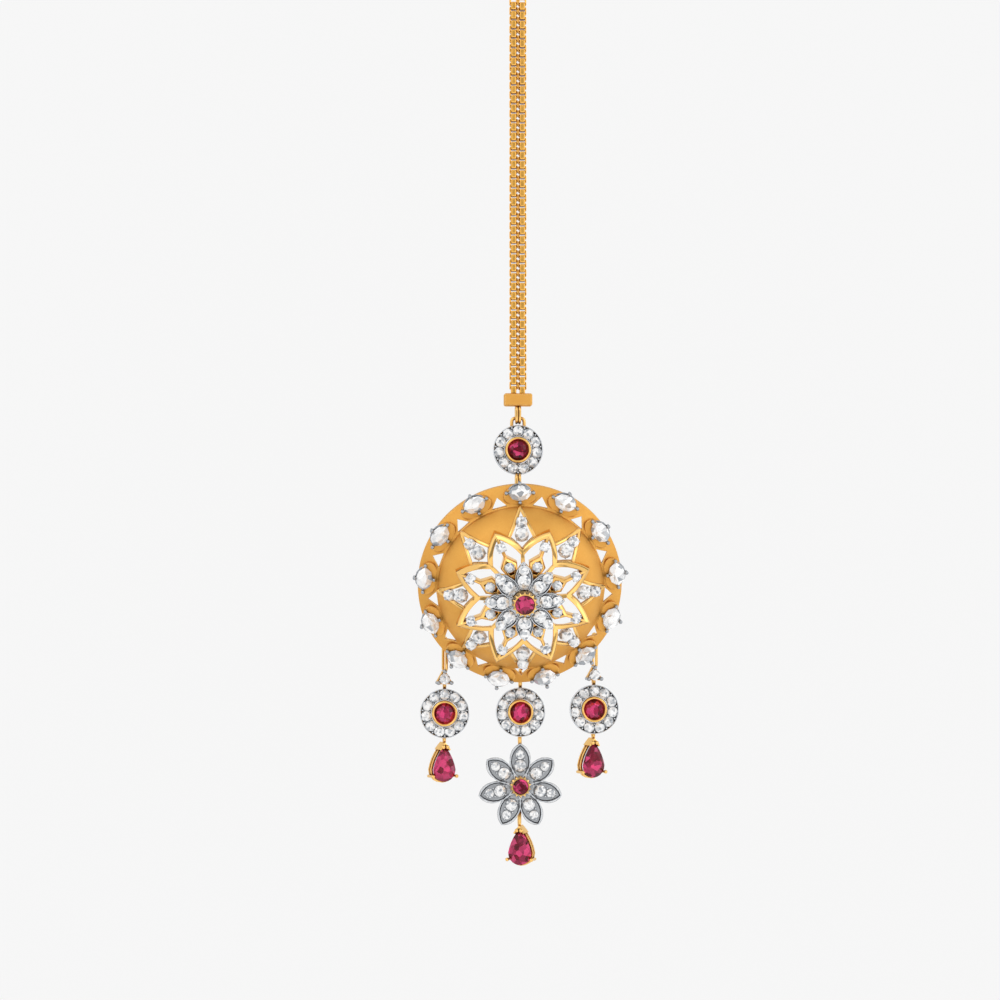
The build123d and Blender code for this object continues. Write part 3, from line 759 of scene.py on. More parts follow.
@dataclass(frozen=True)
class PolishedMetal(Metal):
    """Cast metal polished by hand: bright, with slight waves left by the mop."""

    wave_mm: float = 0.9
    wave_depth_mm: float = 0.012
    wave_strength: float = 0.6
    gloss_swing: Flat = (0.7, 1.3)
    bevel_mm: float = 0.05
    bevel_rays: int = 4

    def shade(self, tree: Tree) -> Node:
        """Waves in the polish and fine wear in the gloss.

        Args:
            tree: The material's node tree.

        Returns:
            The shader.
        """
        place = add_node(tree, "ShaderNodeTexCoord").outputs["Object"]
        values = {"Vector": place, "Scale": 1 / (self.wave_mm * MM), "Detail": 1.5}
        wave = add_node(tree, "ShaderNodeTexNoise", values).outputs["Fac"]
        low, high = (self.roughness * share for share in self.gloss_swing)
        ramp = {"Value": wave, **NOISE_SPAN, TO_LOW: low, TO_HIGH: high}
        rough = add_node(tree, "ShaderNodeMapRange", ramp).outputs[0]
        radius = {"Radius": self.bevel_mm * MM}
        soft = add_node(tree, "ShaderNodeBevel", radius, samples=self.bevel_rays).outputs[0]
        relief = {"Strength": self.wave_strength, "Distance": self.wave_depth_mm * MM}
        relief |= {"Height": wave, "Normal": soft}
        return self.surface(tree, linear(self.colour), rough, relief)


@dataclass(frozen=True)
class Gem(Finish):
    """A clear cut stone: refraction, and painted flashes and shade from its facets.

    Each facet of the real stones is too small to show, so the flat flashes are drawn coarser.
    """

    deep: str = "#000000"
    flash: str = "#FFFFFF"
    shadow: str = "#A3A9B0"
    index: float = 1.77
    returned: float = 0.78
    facet_mm: float = 0.42
    facet_tilt: float = 0.7
    facet_range: Flat = (0.05, 0.45)
    flash_roughness: float = 0.12
    patch_mm: float = 1.2
    patch_range: Flat = (0.38, 0.62)
    metallic: float = 0.2

    def facets(self, tree: Tree, place: Socket) -> Node:
        """Painted flashes and shade from inside: small flat cells, each tilted its own way.

        Args:
            tree: The material's node tree.
            place: The place on the stone.

        Returns:
            The shader.
        """
        values = {"Vector": place, "Scale": 1 / (self.facet_mm * MM)}
        own = add_node(tree, "ShaderNodeTexVoronoi", values).outputs["Color"]
        red = add_node(tree, "ShaderNodeSeparateColor", {0: own}).outputs[0]
        low, high = self.facet_range
        ramp = {"Value": red, FROM_LOW: low, FROM_HIGH: high}
        tone = add_node(tree, "ShaderNodeMapRange", ramp).outputs[0]
        mix = {SHARE: tone, FIRST: linear(self.shadow), SECOND: linear(self.flash)}
        colour = add_node(tree, "ShaderNodeMix", mix, data_type="RGBA").outputs[2]
        normal = add_node(tree, "ShaderNodeNewGeometry").outputs["Normal"]
        lean = own
        for kind, others in (
            ("SUBTRACT", {1: (0.5, 0.5, 0.5)}),
            ("MULTIPLY_ADD", {1: (self.facet_tilt,) * 3, 2: normal}),
            ("NORMALIZE", {}),
        ):
            values = {0: lean, **others}
            lean = add_node(tree, "ShaderNodeVectorMath", values, operation=kind).outputs[0]
        values = {"Base Color": colour, "Metallic": self.metallic}
        values |= {"Roughness": self.flash_roughness, "Normal": lean}
        return add_node(tree, "ShaderNodeBsdfPrincipled", values)

    def shade(self, tree: Tree) -> Node:
        """Refraction with a soft change of colour through the stone, and the facets' flashes.

        Args:
            tree: The material's node tree.

        Returns:
            The shader.
        """
        place = add_node(tree, "ShaderNodeTexCoord").outputs["Object"]
        values = {"Vector": place, "Scale": 1 / (self.patch_mm * MM), "Detail": 1.0}
        patch = add_node(tree, "ShaderNodeTexNoise", values).outputs["Fac"]
        low, high = self.patch_range
        ramp = {"Value": patch, FROM_LOW: low, FROM_HIGH: high}
        share = add_node(tree, "ShaderNodeMapRange", ramp).outputs[0]
        mix = {SHARE: share, FIRST: linear(self.colour), SECOND: linear(self.deep)}
        values = {
            "Base Color": add_node(tree, "ShaderNodeMix", mix, data_type="RGBA").outputs[2],
            "Roughness": self.roughness,
            "IOR": self.index,
            "Transmission Weight": 1.0,
        }
        glass = add_node(tree, "ShaderNodeBsdfPrincipled", values).outputs[0]
        facets = self.facets(tree, place).outputs[0]
        return add_node(tree, "ShaderNodeMixShader", {0: self.returned, 1: glass, 2: facets})


class Finishes(Enum):
    """The jewel's finishes."""

    # 18 carat gold matted with a brass wire wheel: broad soft light, no clear reflections.
    SATIN = SatinMetal("gold_18k_wire_brushed", "satin_gold", "#E2AC55", 0.55, 0.8)
    # 18 carat gold, cast and mop polished: sharp pale highlights, and deep orange crevices
    # from painted shade.
    POLISHED = PolishedMetal("gold_18k_mop_polished", "polished_gold", "#EFC073", 0.14)
    # The chain's drawn gold wire, tumbled, so its gloss is a little duller; painted shade darkens
    # the links' recesses.
    CHAIN = PolishedMetal(
        "gold_18k_tumbled_wire",
        "chain_gold",
        "#F2B85A",
        0.24,
        wave_depth_mm=0.004,
        crevice="#8C4F06",
        crevice_mm=0.5,
        open_share=(0.3, 0.84),
    )
    # White metal plated with rhodium: cool, bright and hard, with painted dark grey crevice shade.
    RHODIUM = PolishedMetal(
        "rhodium_plated_gold",
        "rhodium",
        "#CDD0D4",
        0.16,
        wave_mm=0.5,
        crevice="#6A6C70",
        open_share=(0.3, 0.8),
    )
    # Claws, beads and settings: the plated white metal drawn greyer as painted shade, darker
    # still in crevices.
    CLAW = PolishedMetal(
        "white_gold_painted_greyer",
        "rhodium",
        "#A2A5A9",
        0.2,
        wave_mm=0.5,
        crevice="#5A5C60",
        open_share=(0.3, 0.8),
    )
    # Rubies, faceted: pink where light comes back, wine red in their depth. The index is less
    # than a ruby's own, so that the pale walls don't veil the red.
    RUBY = Gem(
        "ruby_faceted",
        "ruby",
        "#CC1A50",
        0.015,
        metallic=0.9,
        deep="#720824",
        flash="#F04C86",
        shadow="#6A0722",
        index=1.5,
        returned=0.55,
        facet_mm=0.9,
        facet_range=(0.3, 0.74),
    )
    # Small white diamonds, full cut.
    MELEE = Gem(
        "diamond_full_cut",
        "diamond",
        "#FBFCFD",
        0.01,
        deep="#EFF2F5",
        index=2.417,
        facet_mm=0.36,
        facet_range=(0.08, 0.5),
    )
    # Rose-cut diamonds: fewer and larger facets, slightly milky.
    ROSE = Gem(
        "diamond_rose_cut",
        "diamond",
        "#FAFBFC",
        0.02,
        deep="#ECEFF2",
        index=2.3,
        metallic=0.25,
        returned=0.8,
        facet_mm=0.95,
    )


# ---------------------------------------------------------------- pieces
# Points nearer than this are one, once a piece's solids are gathered.
WELD_MM = 0.0002
# Edges that turn more than this many degrees stay sharp; with 0 every face is a flat facet.
ROUNDED, FACETED = 38.0, 0.0
# The same for flat ribbons, for blocks with cut edges and for the chain's links.
RIBBON_EDGES, BLOCK_EDGES, LINK_EDGES = 32.0, 30.0, 12.0


class Piece:
    """The points and faces of one piece, gathered in the jewel's frame."""

    def __init__(self, name: str, finish: Finishes) -> None:
        """Starts an empty piece.

        Args:
            name: The piece's name.
            finish: Its finish.
        """
        self.name = name
        self.finish = finish.value
        self.points: Points = []
        self.faces: Faces = []

    def add(self, solid: Solid, face: Face | None = None) -> "Piece":
        """Adds a solid.

        Args:
            solid: The solid.
            face: The face that it stands on; without one it is in the jewel's frame already.

        Returns:
            The piece.
        """
        points, faces = solid
        start = len(self.points)
        matrix = face.matrix() if face else Matrix.Identity(4)
        self.points += [matrix @ p for p in points]
        self.faces += [tuple(start + k for k in f) for f in faces]
        return self

    def make(self, body: str, replaces: Sequence[str] = (), sharp: float = ROUNDED) -> None:
        """Turns what was gathered into an object that rides on a body.

        Args:
            body: The CAD body that it moves with.
            replaces: The CAD nodes that it stands for.
            sharp: Edges that turn more than this many degrees stay sharp; 0 for facets.
        """
        mesh = bpy.data.meshes.new(self.name)
        mesh.from_pydata([p * MM for p in self.points], [], self.faces)
        mesh.materials.append(self.finish.material())
        mesh.polygons.foreach_set("use_smooth", [sharp > 0] * len(mesh.polygons))
        form = bmesh.new()
        form.from_mesh(mesh)
        bmesh.ops.remove_doubles(form, verts=form.verts, dist=WELD_MM * MM)
        bmesh.ops.recalc_face_normals(form, faces=form.faces)
        form.to_mesh(mesh)
        form.free()
        if sharp > 0:
            mesh.set_sharp_from_angle(angle=math.radians(sharp))
        mesh.validate()
        mesh.update()
        piece = bpy.data.objects.new(self.name, mesh)
        bpy.context.scene.collection.objects.link(piece)
        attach(piece, body)
        if replaces:
            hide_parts(*replaces)
        LOG.info("%s: %d faces on %s", self.name, len(self.faces), body)


# ---------------------------------------------------------------- repeats by node trees
@dataclass(frozen=True)
class Repeater:
    """A geometry node tree that repeats a small mesh, and reads the result back."""

    name: str
    sockets: tuple[tuple[str, str], ...]
    build: Callable[[Tree, Node], Socket]

    def tree(self) -> Tree:
        """The tree of this name, built the first time it is asked for.

        Returns:
            The tree, with its named inputs.
        """
        known = bpy.data.node_groups.get(self.name)
        if known:
            return known
        made = bpy.data.node_groups.new(self.name, "GeometryNodeTree")
        first, last = ("Geometry", "NodeSocketGeometry"), ("Material", "NodeSocketMaterial")
        for label, kind in (first, *self.sockets, last):
            made.interface.new_socket(label, in_out="INPUT", socket_type=kind)
        made.interface.new_socket(first[0], in_out="OUTPUT", socket_type=first[1])
        inputs = add_node(made, "NodeGroupInput")
        placed = self.build(made, inputs)
        real = add_node(made, "GeometryNodeRealizeInstances", {0: placed}).outputs[0]
        values = {"Geometry": real, "Material": inputs.outputs["Material"]}
        dressed = add_node(made, "GeometryNodeSetMaterial", values).outputs[0]
        add_node(made, "NodeGroupOutput", {0: dressed})
        return made

    def solid(self, unit: Solid, finish: Finishes, values: dict[str, float | int]) -> Solid:
        """Repeats a unit and gives the result as one solid.

        Args:
            unit: The mesh that is repeated, in millimetres.
            finish: Its finish.
            values: The tree's named inputs.

        Returns:
            The repeated solid, in millimetres.
        """
        source = bpy.data.meshes.new(self.name)
        source.from_pydata(unit[0], [], unit[1])
        holder = bpy.data.objects.new(self.name, source)
        bpy.context.scene.collection.objects.link(holder)
        modifier = holder.modifiers.new(self.name, "NODES")
        tree = self.tree()
        modifier.node_group = tree
        given = {**values, "Material": finish.value.material()}
        for item in tree.interface.items_tree:
            if item.item_type == "SOCKET" and item.in_out == "INPUT" and item.name in given:
                modifier[item.identifier] = given[item.name]
        evaluated = holder.evaluated_get(bpy.context.evaluated_depsgraph_get())
        result = bpy.data.meshes.new_from_object(evaluated)
        points = [v.co.copy() for v in result.vertices]
        faces = [tuple(p.vertices) for p in result.polygons]
        bpy.data.objects.remove(holder)
        bpy.data.meshes.remove(source)
        bpy.data.meshes.remove(result)
        return points, faces


def turned_units(tree: Tree, inputs: Node, points: Socket, angle: Socket) -> Socket:
    """Nodes that set the unit on points, each one turned about z.

    Args:
        tree: The geometry node tree.
        inputs: Its inputs.
        points: The points.
        angle: The turn of each unit, in radians.

    Returns:
        The socket of the placed units.
    """
    turn = add_node(tree, "ShaderNodeCombineXYZ", {2: angle}).outputs[0]
    rotation = add_node(tree, "FunctionNodeEulerToRotation", {0: turn}).outputs[0]
    unit = inputs.outputs["Geometry"]
    values = {"Points": points, "Instance": unit, "Rotation": rotation}
    return add_node(tree, "GeometryNodeInstanceOnPoints", values).outputs[0]


def ring_nodes(tree: Tree, inputs: Node) -> Socket:
    """Nodes that set a unit evenly round a circle, each one turned to face outwards.

    Args:
        tree: The geometry node tree.
        inputs: Its inputs.

    Returns:
        The socket of the placed units.
    """
    given = inputs.outputs
    index = add_node(tree, "GeometryNodeInputIndex").outputs[0]
    share = {0: TURN, 1: given["Count"]}
    step = add_node(tree, "ShaderNodeMath", share, operation="DIVIDE").outputs[0]
    sweep = {0: index, 1: step, 2: given["Start"]}
    swing = add_node(tree, "ShaderNodeMath", sweep, operation="MULTIPLY_ADD").outputs[0]
    way = {}
    for axis, kind in enumerate(("COSINE", "SINE")):
        way[axis] = add_node(tree, "ShaderNodeMath", {0: swing}, operation=kind).outputs[0]
    unit = add_node(tree, "ShaderNodeCombineXYZ", way).outputs[0]
    reach = {0: unit, "Scale": given["Radius"]}
    flat = add_node(tree, "ShaderNodeVectorMath", reach, operation="SCALE").outputs[0]
    rise = add_node(tree, "ShaderNodeCombineXYZ", {2: given["Height"]}).outputs[0]
    spot = add_node(tree, "ShaderNodeVectorMath", {0: flat, 1: rise}, operation="ADD").outputs[0]
    values = {"Count": given["Count"], "Position": spot}
    points = add_node(tree, "GeometryNodePoints", values).outputs[0]
    turn = {0: swing, 1: given["Spin"]}
    spin = add_node(tree, "ShaderNodeMath", turn, operation="ADD").outputs[0]
    return turned_units(tree, inputs, points, spin)


def chain_nodes(tree: Tree, inputs: Node) -> Socket:
    """Nodes that hang links below each other, every second one turned by a quarter.

    Args:
        tree: The geometry node tree.
        inputs: Its inputs.

    Returns:
        The socket of the placed links.
    """
    given = inputs.outputs
    down = {0: given["Pitch"], 1: -1.0}
    drop = add_node(tree, "ShaderNodeMath", down, operation="MULTIPLY").outputs[0]
    angle = add_node(tree, "GeometryNodeInputIndex").outputs[0]
    for number, kind in ((2.0, "MODULO"), (TURN / 4, "MULTIPLY")):
        pair = {0: angle, 1: number}
        angle = add_node(tree, "ShaderNodeMath", pair, operation=kind).outputs[0]
    offset = add_node(tree, "ShaderNodeCombineXYZ", {2: drop}).outputs[0]
    values = {"Count": given["Count"], "Offset": offset}
    line = add_node(tree, "GeometryNodeMeshLine", values).outputs[0]
    return turned_units(tree, inputs, line, angle)


def beading_nodes(tree: Tree, inputs: Node) -> Socket:
    """Nodes that set small beads at even steps along a closed outline.

    Args:
        tree: The geometry node tree.
        inputs: Its inputs.

    Returns:
        The socket of the placed beads.
    """
    given = inputs.outputs
    curve = add_node(tree, "GeometryNodeMeshToCurve", {"Mesh": given["Geometry"]}).outputs[0]
    values = {"Curve": curve, "Length": given["Spacing"]}
    places = add_node(tree, "GeometryNodeCurveToPoints", values, mode="LENGTH").outputs[0]
    values = {"Radius": given["Bead"], "Subdivisions": 1}
    bead = add_node(tree, "GeometryNodeMeshIcoSphere", values).outputs[0]
    values = {"Points": places, "Instance": bead}
    return add_node(tree, "GeometryNodeInstanceOnPoints", values).outputs[0]


FLOAT, WHOLE = "NodeSocketFloat", "NodeSocketInt"
RING = Repeater(
    "set_round_a_ring",
    (("Count", WHOLE), ("Radius", FLOAT), ("Start", FLOAT), ("Height", FLOAT), ("Spin", FLOAT)),
    ring_nodes,
)
CHAIN_RUN = Repeater("hung_in_a_chain", (("Count", WHOLE), ("Pitch", FLOAT)), chain_nodes)
BEADED_EDGE = Repeater(
    "beaded_along_an_edge", (("Spacing", FLOAT), ("Bead", FLOAT)), beading_nodes
)


@dataclass(frozen=True)
class Ring:
    """A ring of like things: how many, on what circle, from what angle, how high."""

    count: int
    radius: float
    start: float = TURN / 4
    height: float = 0.0
    spin: float = 0.0

    def of(self, unit: Solid, finish: Finishes) -> Solid:
        """The unit set round this ring."""
        return RING.solid(unit, finish, {name.title(): value for name, value in vars(self).items()})


# ---------------------------------------------------------------- small shared shapes
def joined(*solids: Solid) -> Solid:
    """Several solids as one.

    Args:
        *solids: The solids.

    Returns:
        The whole.
    """
    points: Points = []
    faces: Faces = []
    for some, sides in solids:
        start = len(points)
        points += some
        faces += [tuple(start + k for k in f) for f in sides]
    return points, faces


def shifted(solid: Solid, x: float = 0.0, y: float = 0.0, height: float = 0.0) -> Solid:
    """A solid moved across its face."""
    move = Vector((x, y, height))
    return [p + move for p in solid[0]], solid[1]


def claw(radius: float, low: float, top: float, head: float = 1.25, sides: int = 10) -> Solid:
    """An upright wire claw with a rounded head.

    Args:
        radius: Half the wire's thickness.
        low: Height of its foot.
        top: Height of its head's top.
        head: The head's radius as a share of the wire's.
        sides: Number of sides.

    Returns:
        The solid, standing on the middle of its face.
    """
    knob = radius * head
    low_angle, step, points = -38, 25, 6
    profile = [(radius, low), (0.9 * radius, top - 2 * knob)]
    for k in range(points):
        across, up = polar(knob, math.radians(low_angle + step * k))
        profile.append((across, top - knob + up))
    return turned_solid(profile, sides)


def level(height: float) -> Height:
    """A height that is the same everywhere on a face."""
    return lambda x, y: height


@dataclass(frozen=True)
class Loop:
    """A closed hanging loop that stands edge-on to the front, of one wire or two.

    Its wire's section is a rounded square: with a roundness of 1 it is round.
    """

    depth: float
    wall: float
    width: float
    wires: int = 1
    turn: float = 0.0
    steps: int = 24
    sides: int = 12
    roundness: float = 0.75

    def add_to(self, piece: Piece, x: float, y: float, top: float, bottom: float) -> None:
        """Adds the loop to a piece.

        Args:
            piece: The piece.
            x: Its middle across the jewel.
            y: Its middle from front to back.
            top: Height of its top.
            bottom: Height of its bottom.
        """
        face = facing(Vector((x, y, (top + bottom) / 2)), self.turn)
        reach = (self.depth - self.wall) / 2
        straight = (top - bottom - self.depth) / 2
        route = []
        for k in range(self.steps):
            out, up = polar(reach, TURN * (k + 0.5) / self.steps)
            route.append(Vector((0, up + math.copysign(straight, up), out)))
        wire = self.width / self.wires
        side = Vector((1, 0, 0))
        for n in range(self.wires):
            middle = side * ((n + 0.5) * wire - self.width / 2)
            rings = []
            for k, point in enumerate(route):
                along = (route[(k + 1) % self.steps] - route[k - 1]).normalized()
                out = side.cross(along)
                ring = []
                for j in range(self.sides):
                    c, s = polar(1.0, TURN * j / self.sides)
                    across = math.copysign(abs(c) ** self.roundness, c) * wire / 2
                    thick = math.copysign(abs(s) ** self.roundness, s) * self.wall / 2
                    ring.append(point + middle + side * across + out * thick)
                rings.append(ring)
            piece.add(strips(rings, closed=True), face)


@dataclass(frozen=True)
class Staple:
    """A wire eye: a crown along X and two legs that reach back into its piece."""

    wire: float = 0.5
    half: float = 0.65
    stand: float = 1.1
    solder: float = 0.3
    bend: float = 0.7

    def add_to(self, piece: Piece, crown: Vector, way: Vector) -> None:
        """Adds the staple to a piece.

        Args:
            piece: The piece.
            crown: The middle of its crown.
            way: The way its legs go.
        """
        side = Vector((self.half, 0, 0))
        down = way * (self.stand + self.solder)
        corners = [crown - side + down, crown - side, crown + side, crown + side + down]
        route = rounded_route(corners, self.bend * self.half)
        piece.add(tube(route, self.wire / 2))


# The loops and staples that every drop hangs by, and the play between their wires.
HANG_LOOP = Loop(depth=2.0, wall=0.5, width=0.55)
RING_PLAY = 0.1
STAPLE = Staple()
# How far in front of its staple's crown a hung piece's middle lies.
HANG_FORWARD = 0.7
# How far a loop reaches into the ring that it is soldered to.
LOOP_SINK = 0.4


def loop_top(crown: Vector, loop: Loop = HANG_LOOP) -> float:
    """Height of the top of a loop that hangs on a staple."""
    return crown.z + STAPLE.wire / 2 + RING_PLAY + loop.wall


def behind(face: Face, down: float, back: float) -> Vector:
    """The crown of a staple on a piece's back.

    Args:
        face: The piece's face.
        down: How far below its middle.
        back: Height of its back.

    Returns:
        The place of the staple's crown.
    """
    return face.origin - UP * down - FRONT * (STAPLE.stand - back)


# ---------------------------------------------------------------- the chain
@dataclass(frozen=True)
class Chain:
    """Two strands of box links, and the bar that joins their lower ends."""

    top: float = -15.45
    end: float = -79.6
    spacing: float = 1.38
    sag: float = 0.06
    width: float = 1.36
    band: float = 0.82
    wire: float = 0.27
    corner: float = 0.2
    links: int = 84
    bar: Place = (4.5, 2.2, 2.0)
    bar_top: float = -79.5
    chamfer: float = 0.2
    loop: Loop = Loop(depth=2.3, wall=0.6, width=0.95, wires=2)
    loop_bottom: float = -84.4
    loop_height: float = 3.2

    def link(self, pitch: float) -> Solid:
        """One box link, a rounded band ring open to the front.

        Args:
            pitch: Distance from one link's middle to the next one's.

        Returns:
            The link about its own middle.
        """
        across = (self.width - self.wire) / 2
        up = (pitch + self.wire) / 2
        corner = self.corner - self.wire / 2
        route = []
        for k, (sx, sz) in enumerate(((1, 1), (-1, 1), (-1, -1), (1, -1))):
            for step in range(3):
                x, z = polar(corner, TURN / 4 * (k + step / 2))
                route.append(Vector((sx * (across - corner) + x, 0, sz * (up - corner) + z)))
        half, thick = self.band / 2, self.wire / 2
        side = [(-thick, 0.8 * half), (0.0, half), (0.78 * thick, 0.86 * half), (thick, 0.6 * half)]
        section = [(t, -y) for t, y in side] + side[::-1]
        rings = []
        for k, point in enumerate(route):
            along = (route[(k + 1) % len(route)] - route[k - 1]).normalized()
            out = Vector((along.z, 0, -along.x))
            rings.append([point + out * t + Vector((0, y, 0)) for t, y in section])
        return strips(rings, closed=True)

    def build(self) -> None:
        """Makes the strands and the bar."""
        pitch = (self.top - self.end - 2 * self.wire) / self.links
        first = self.top - pitch / 2 - self.wire
        values = {"Count": self.links, "Pitch": pitch}
        run = CHAIN_RUN.solid(self.link(pitch), Finishes.CHAIN, values)
        for side, name, sag in ((-1, "left", 0.0), (1, "right", self.sag)):
            spot = Vector((side * self.spacing / 2, 0, first - sag))
            strand = Piece(f"{name}_strand_links", Finishes.CHAIN)
            strand.add(run, Face(spot, Vector((1, 0, 0)), UP))
            strand.make("chain_body", [f"chain_strand_{name}"], sharp=LINK_EDGES)
        long, deep, high = self.bar
        cut, top = self.chamfer, self.bar_top
        low = top - high
        levels = ((cut, low), (0.0, low + cut), (0.0, top - cut), (cut, top))
        bar = Piece("chain_bar_block", Finishes.SATIN)
        bar.add(slab(cut_corners(long, deep, cut), levels))
        bar.make("chain_body", ["chain_bar"], sharp=BLOCK_EDGES)
        ring = Piece("chain_bar_loop", Finishes.POLISHED)
        self.loop.add_to(ring, 0, 0, self.loop_bottom + self.loop_height, self.loop_bottom)
        ring.make("chain_body", ["chain_bar"])


# ---------------------------------------------------------------- round clusters
@dataclass(frozen=True)
class RoundCluster:
    """A ruby in a gold bezel, in a ring of small diamonds set in white metal."""

    radius: float = 4.0
    back: float = -0.6
    floor: float = -0.3
    rim_top: float = 0.7
    ring_sides: int = 66
    stones: int = 11
    stone_circle: float = 3.05
    stone_radius: float = 0.84
    stone_girdle: float = 0.5
    bezel_radius: float = 2.1
    bezel_bore: float = 1.2
    bezel_back: float = -0.7
    bezel_top: float = 1.05
    bezel_sides: int = 60
    ruby_radius: float = 1.52
    ruby_girdle: float = 0.52
    ruby_cut: Cut = Cut(table=0.5, crown=0.27, pavilion=0.76)
    bead: float = 0.17

    def ring(self) -> Solid:
        """The white metal trough, open to the front.

        Returns:
            The ring.
        """
        rim, bore, top = self.radius, self.bezel_radius + 0.05, self.rim_top
        profile = (
            (bore, self.back),
            (rim - 0.15, self.back),
            (rim, self.back + 0.2),
            (rim, top - 0.12),
            (rim - 0.04, top - 0.02),
            (rim - 0.1, top),
            (rim - 0.17, top - 0.06),
            (rim - 0.22, 0.3),
            (rim - 0.35, self.floor),
            (bore + 0.25, self.floor),
            (bore + 0.12, 0.55),
            (bore, 0.6),
        )
        return turned_ring(profile, self.ring_sides)

    def beads(self) -> Solid:
        """The bright-cut beads between the stones, on posts.

        Returns:
            The large beads by the rim and the small ones by the bezel.
        """
        start = TURN / 4 + TURN / self.stones / 2
        rows = []
        for circle, size, top, head in (
            (self.radius - 0.36, 0.85, self.rim_top + 0.05, 1.15),
            (self.bezel_radius + 0.3, 0.75, self.rim_top, 1.1),
        ):
            post = claw(self.bead * size, self.floor, top, head, sides=8)
            rows.append(Ring(self.stones, circle, start).of(post, Finishes.RHODIUM))
        return joined(*rows)

    def bezel(self) -> Solid:
        """The collar, rolled over the ruby's edge.

        Returns:
            The collar.
        """
        out, seat, top = self.bezel_radius, self.ruby_radius, self.bezel_top
        profile = (
            (self.bezel_bore, self.bezel_back),
            (out, self.bezel_back),
            (out, top - 0.28),
            (out - 0.05, top - 0.12),
            (out - 0.14, top - 0.02),
            (out - 0.24, top),
            (out - 0.34, top - 0.05),
            (seat + 0.12, top - 0.26),
            (seat + 0.02, top - 0.42),
            (seat + 0.03, 0.3),
            (self.bezel_bore, -0.1),
        )
        return turned_ring(profile, self.bezel_sides)

    def build(self, name: str, face: Face, body: str) -> None:
        """Makes a cluster's metal and stones.

        Args:
            name: The cluster's name.
            face: Its face.
            body: The CAD body it moves with.
        """
        ruby = shifted(self.ruby_cut.round(self.ruby_radius), height=self.ruby_girdle)
        stone = shifted(Cut().round(self.stone_radius), height=self.stone_girdle)
        stones = Ring(self.stones, self.stone_circle).of(stone, Finishes.MELEE)
        for part, finish, solid, node, sharp in (
            ("halo_ring", Finishes.RHODIUM, joined(self.ring(), self.beads()), "halo", ROUNDED),
            ("bezel_collar", Finishes.POLISHED, self.bezel(), "bezel", ROUNDED),
            ("round_ruby", Finishes.RUBY, ruby, "ruby", FACETED),
            ("halo_diamonds", Finishes.MELEE, stones, "halo", FACETED),
        ):
            Piece(f"{name}_{part}", finish).add(solid, face).make(body, [f"{name}_{node}"], sharp)


# ---------------------------------------------------------------- the medallion
@dataclass(frozen=True)
class Collet:
    """A tapered tube setting with bright beads over the stone's edge."""

    radius: float
    depth: float = 1.0
    sides: int = 20
    prongs: int = 4
    prong: float = 0.12
    prong_span: Flat = (-0.5, 0.17)
    turn: float = TURN / 8

    def metal(self) -> Solid:
        """The tube and its beads.

        Returns:
            The setting, with the tube's top at height 0.
        """
        r, low = self.radius, -self.depth
        profile = (
            (r - 0.32, low),
            (r - 0.14, low),
            (r - 0.01, -0.16),
            (r - 0.02, -0.04),
            (r - 0.08, 0.0),
            (r - 0.15, -0.04),
            (r - 0.2, -0.25),
        )
        floor = ((r - 0.4, low), (r - 0.4, 0.1 + low))
        parts = [turned_ring(profile, self.sides), turned_solid(floor, self.sides)]
        bead = claw(self.prong, *self.prong_span, head=1.2, sides=8)
        for k in range(self.prongs):
            parts.append(shifted(bead, *polar(r - 0.02, self.turn + TURN * k / self.prongs)))
        return joined(*parts)

    def stone(self) -> Solid:
        """The diamond in it."""
        return shifted(Cut().round(self.radius - 0.01), height=0.02)


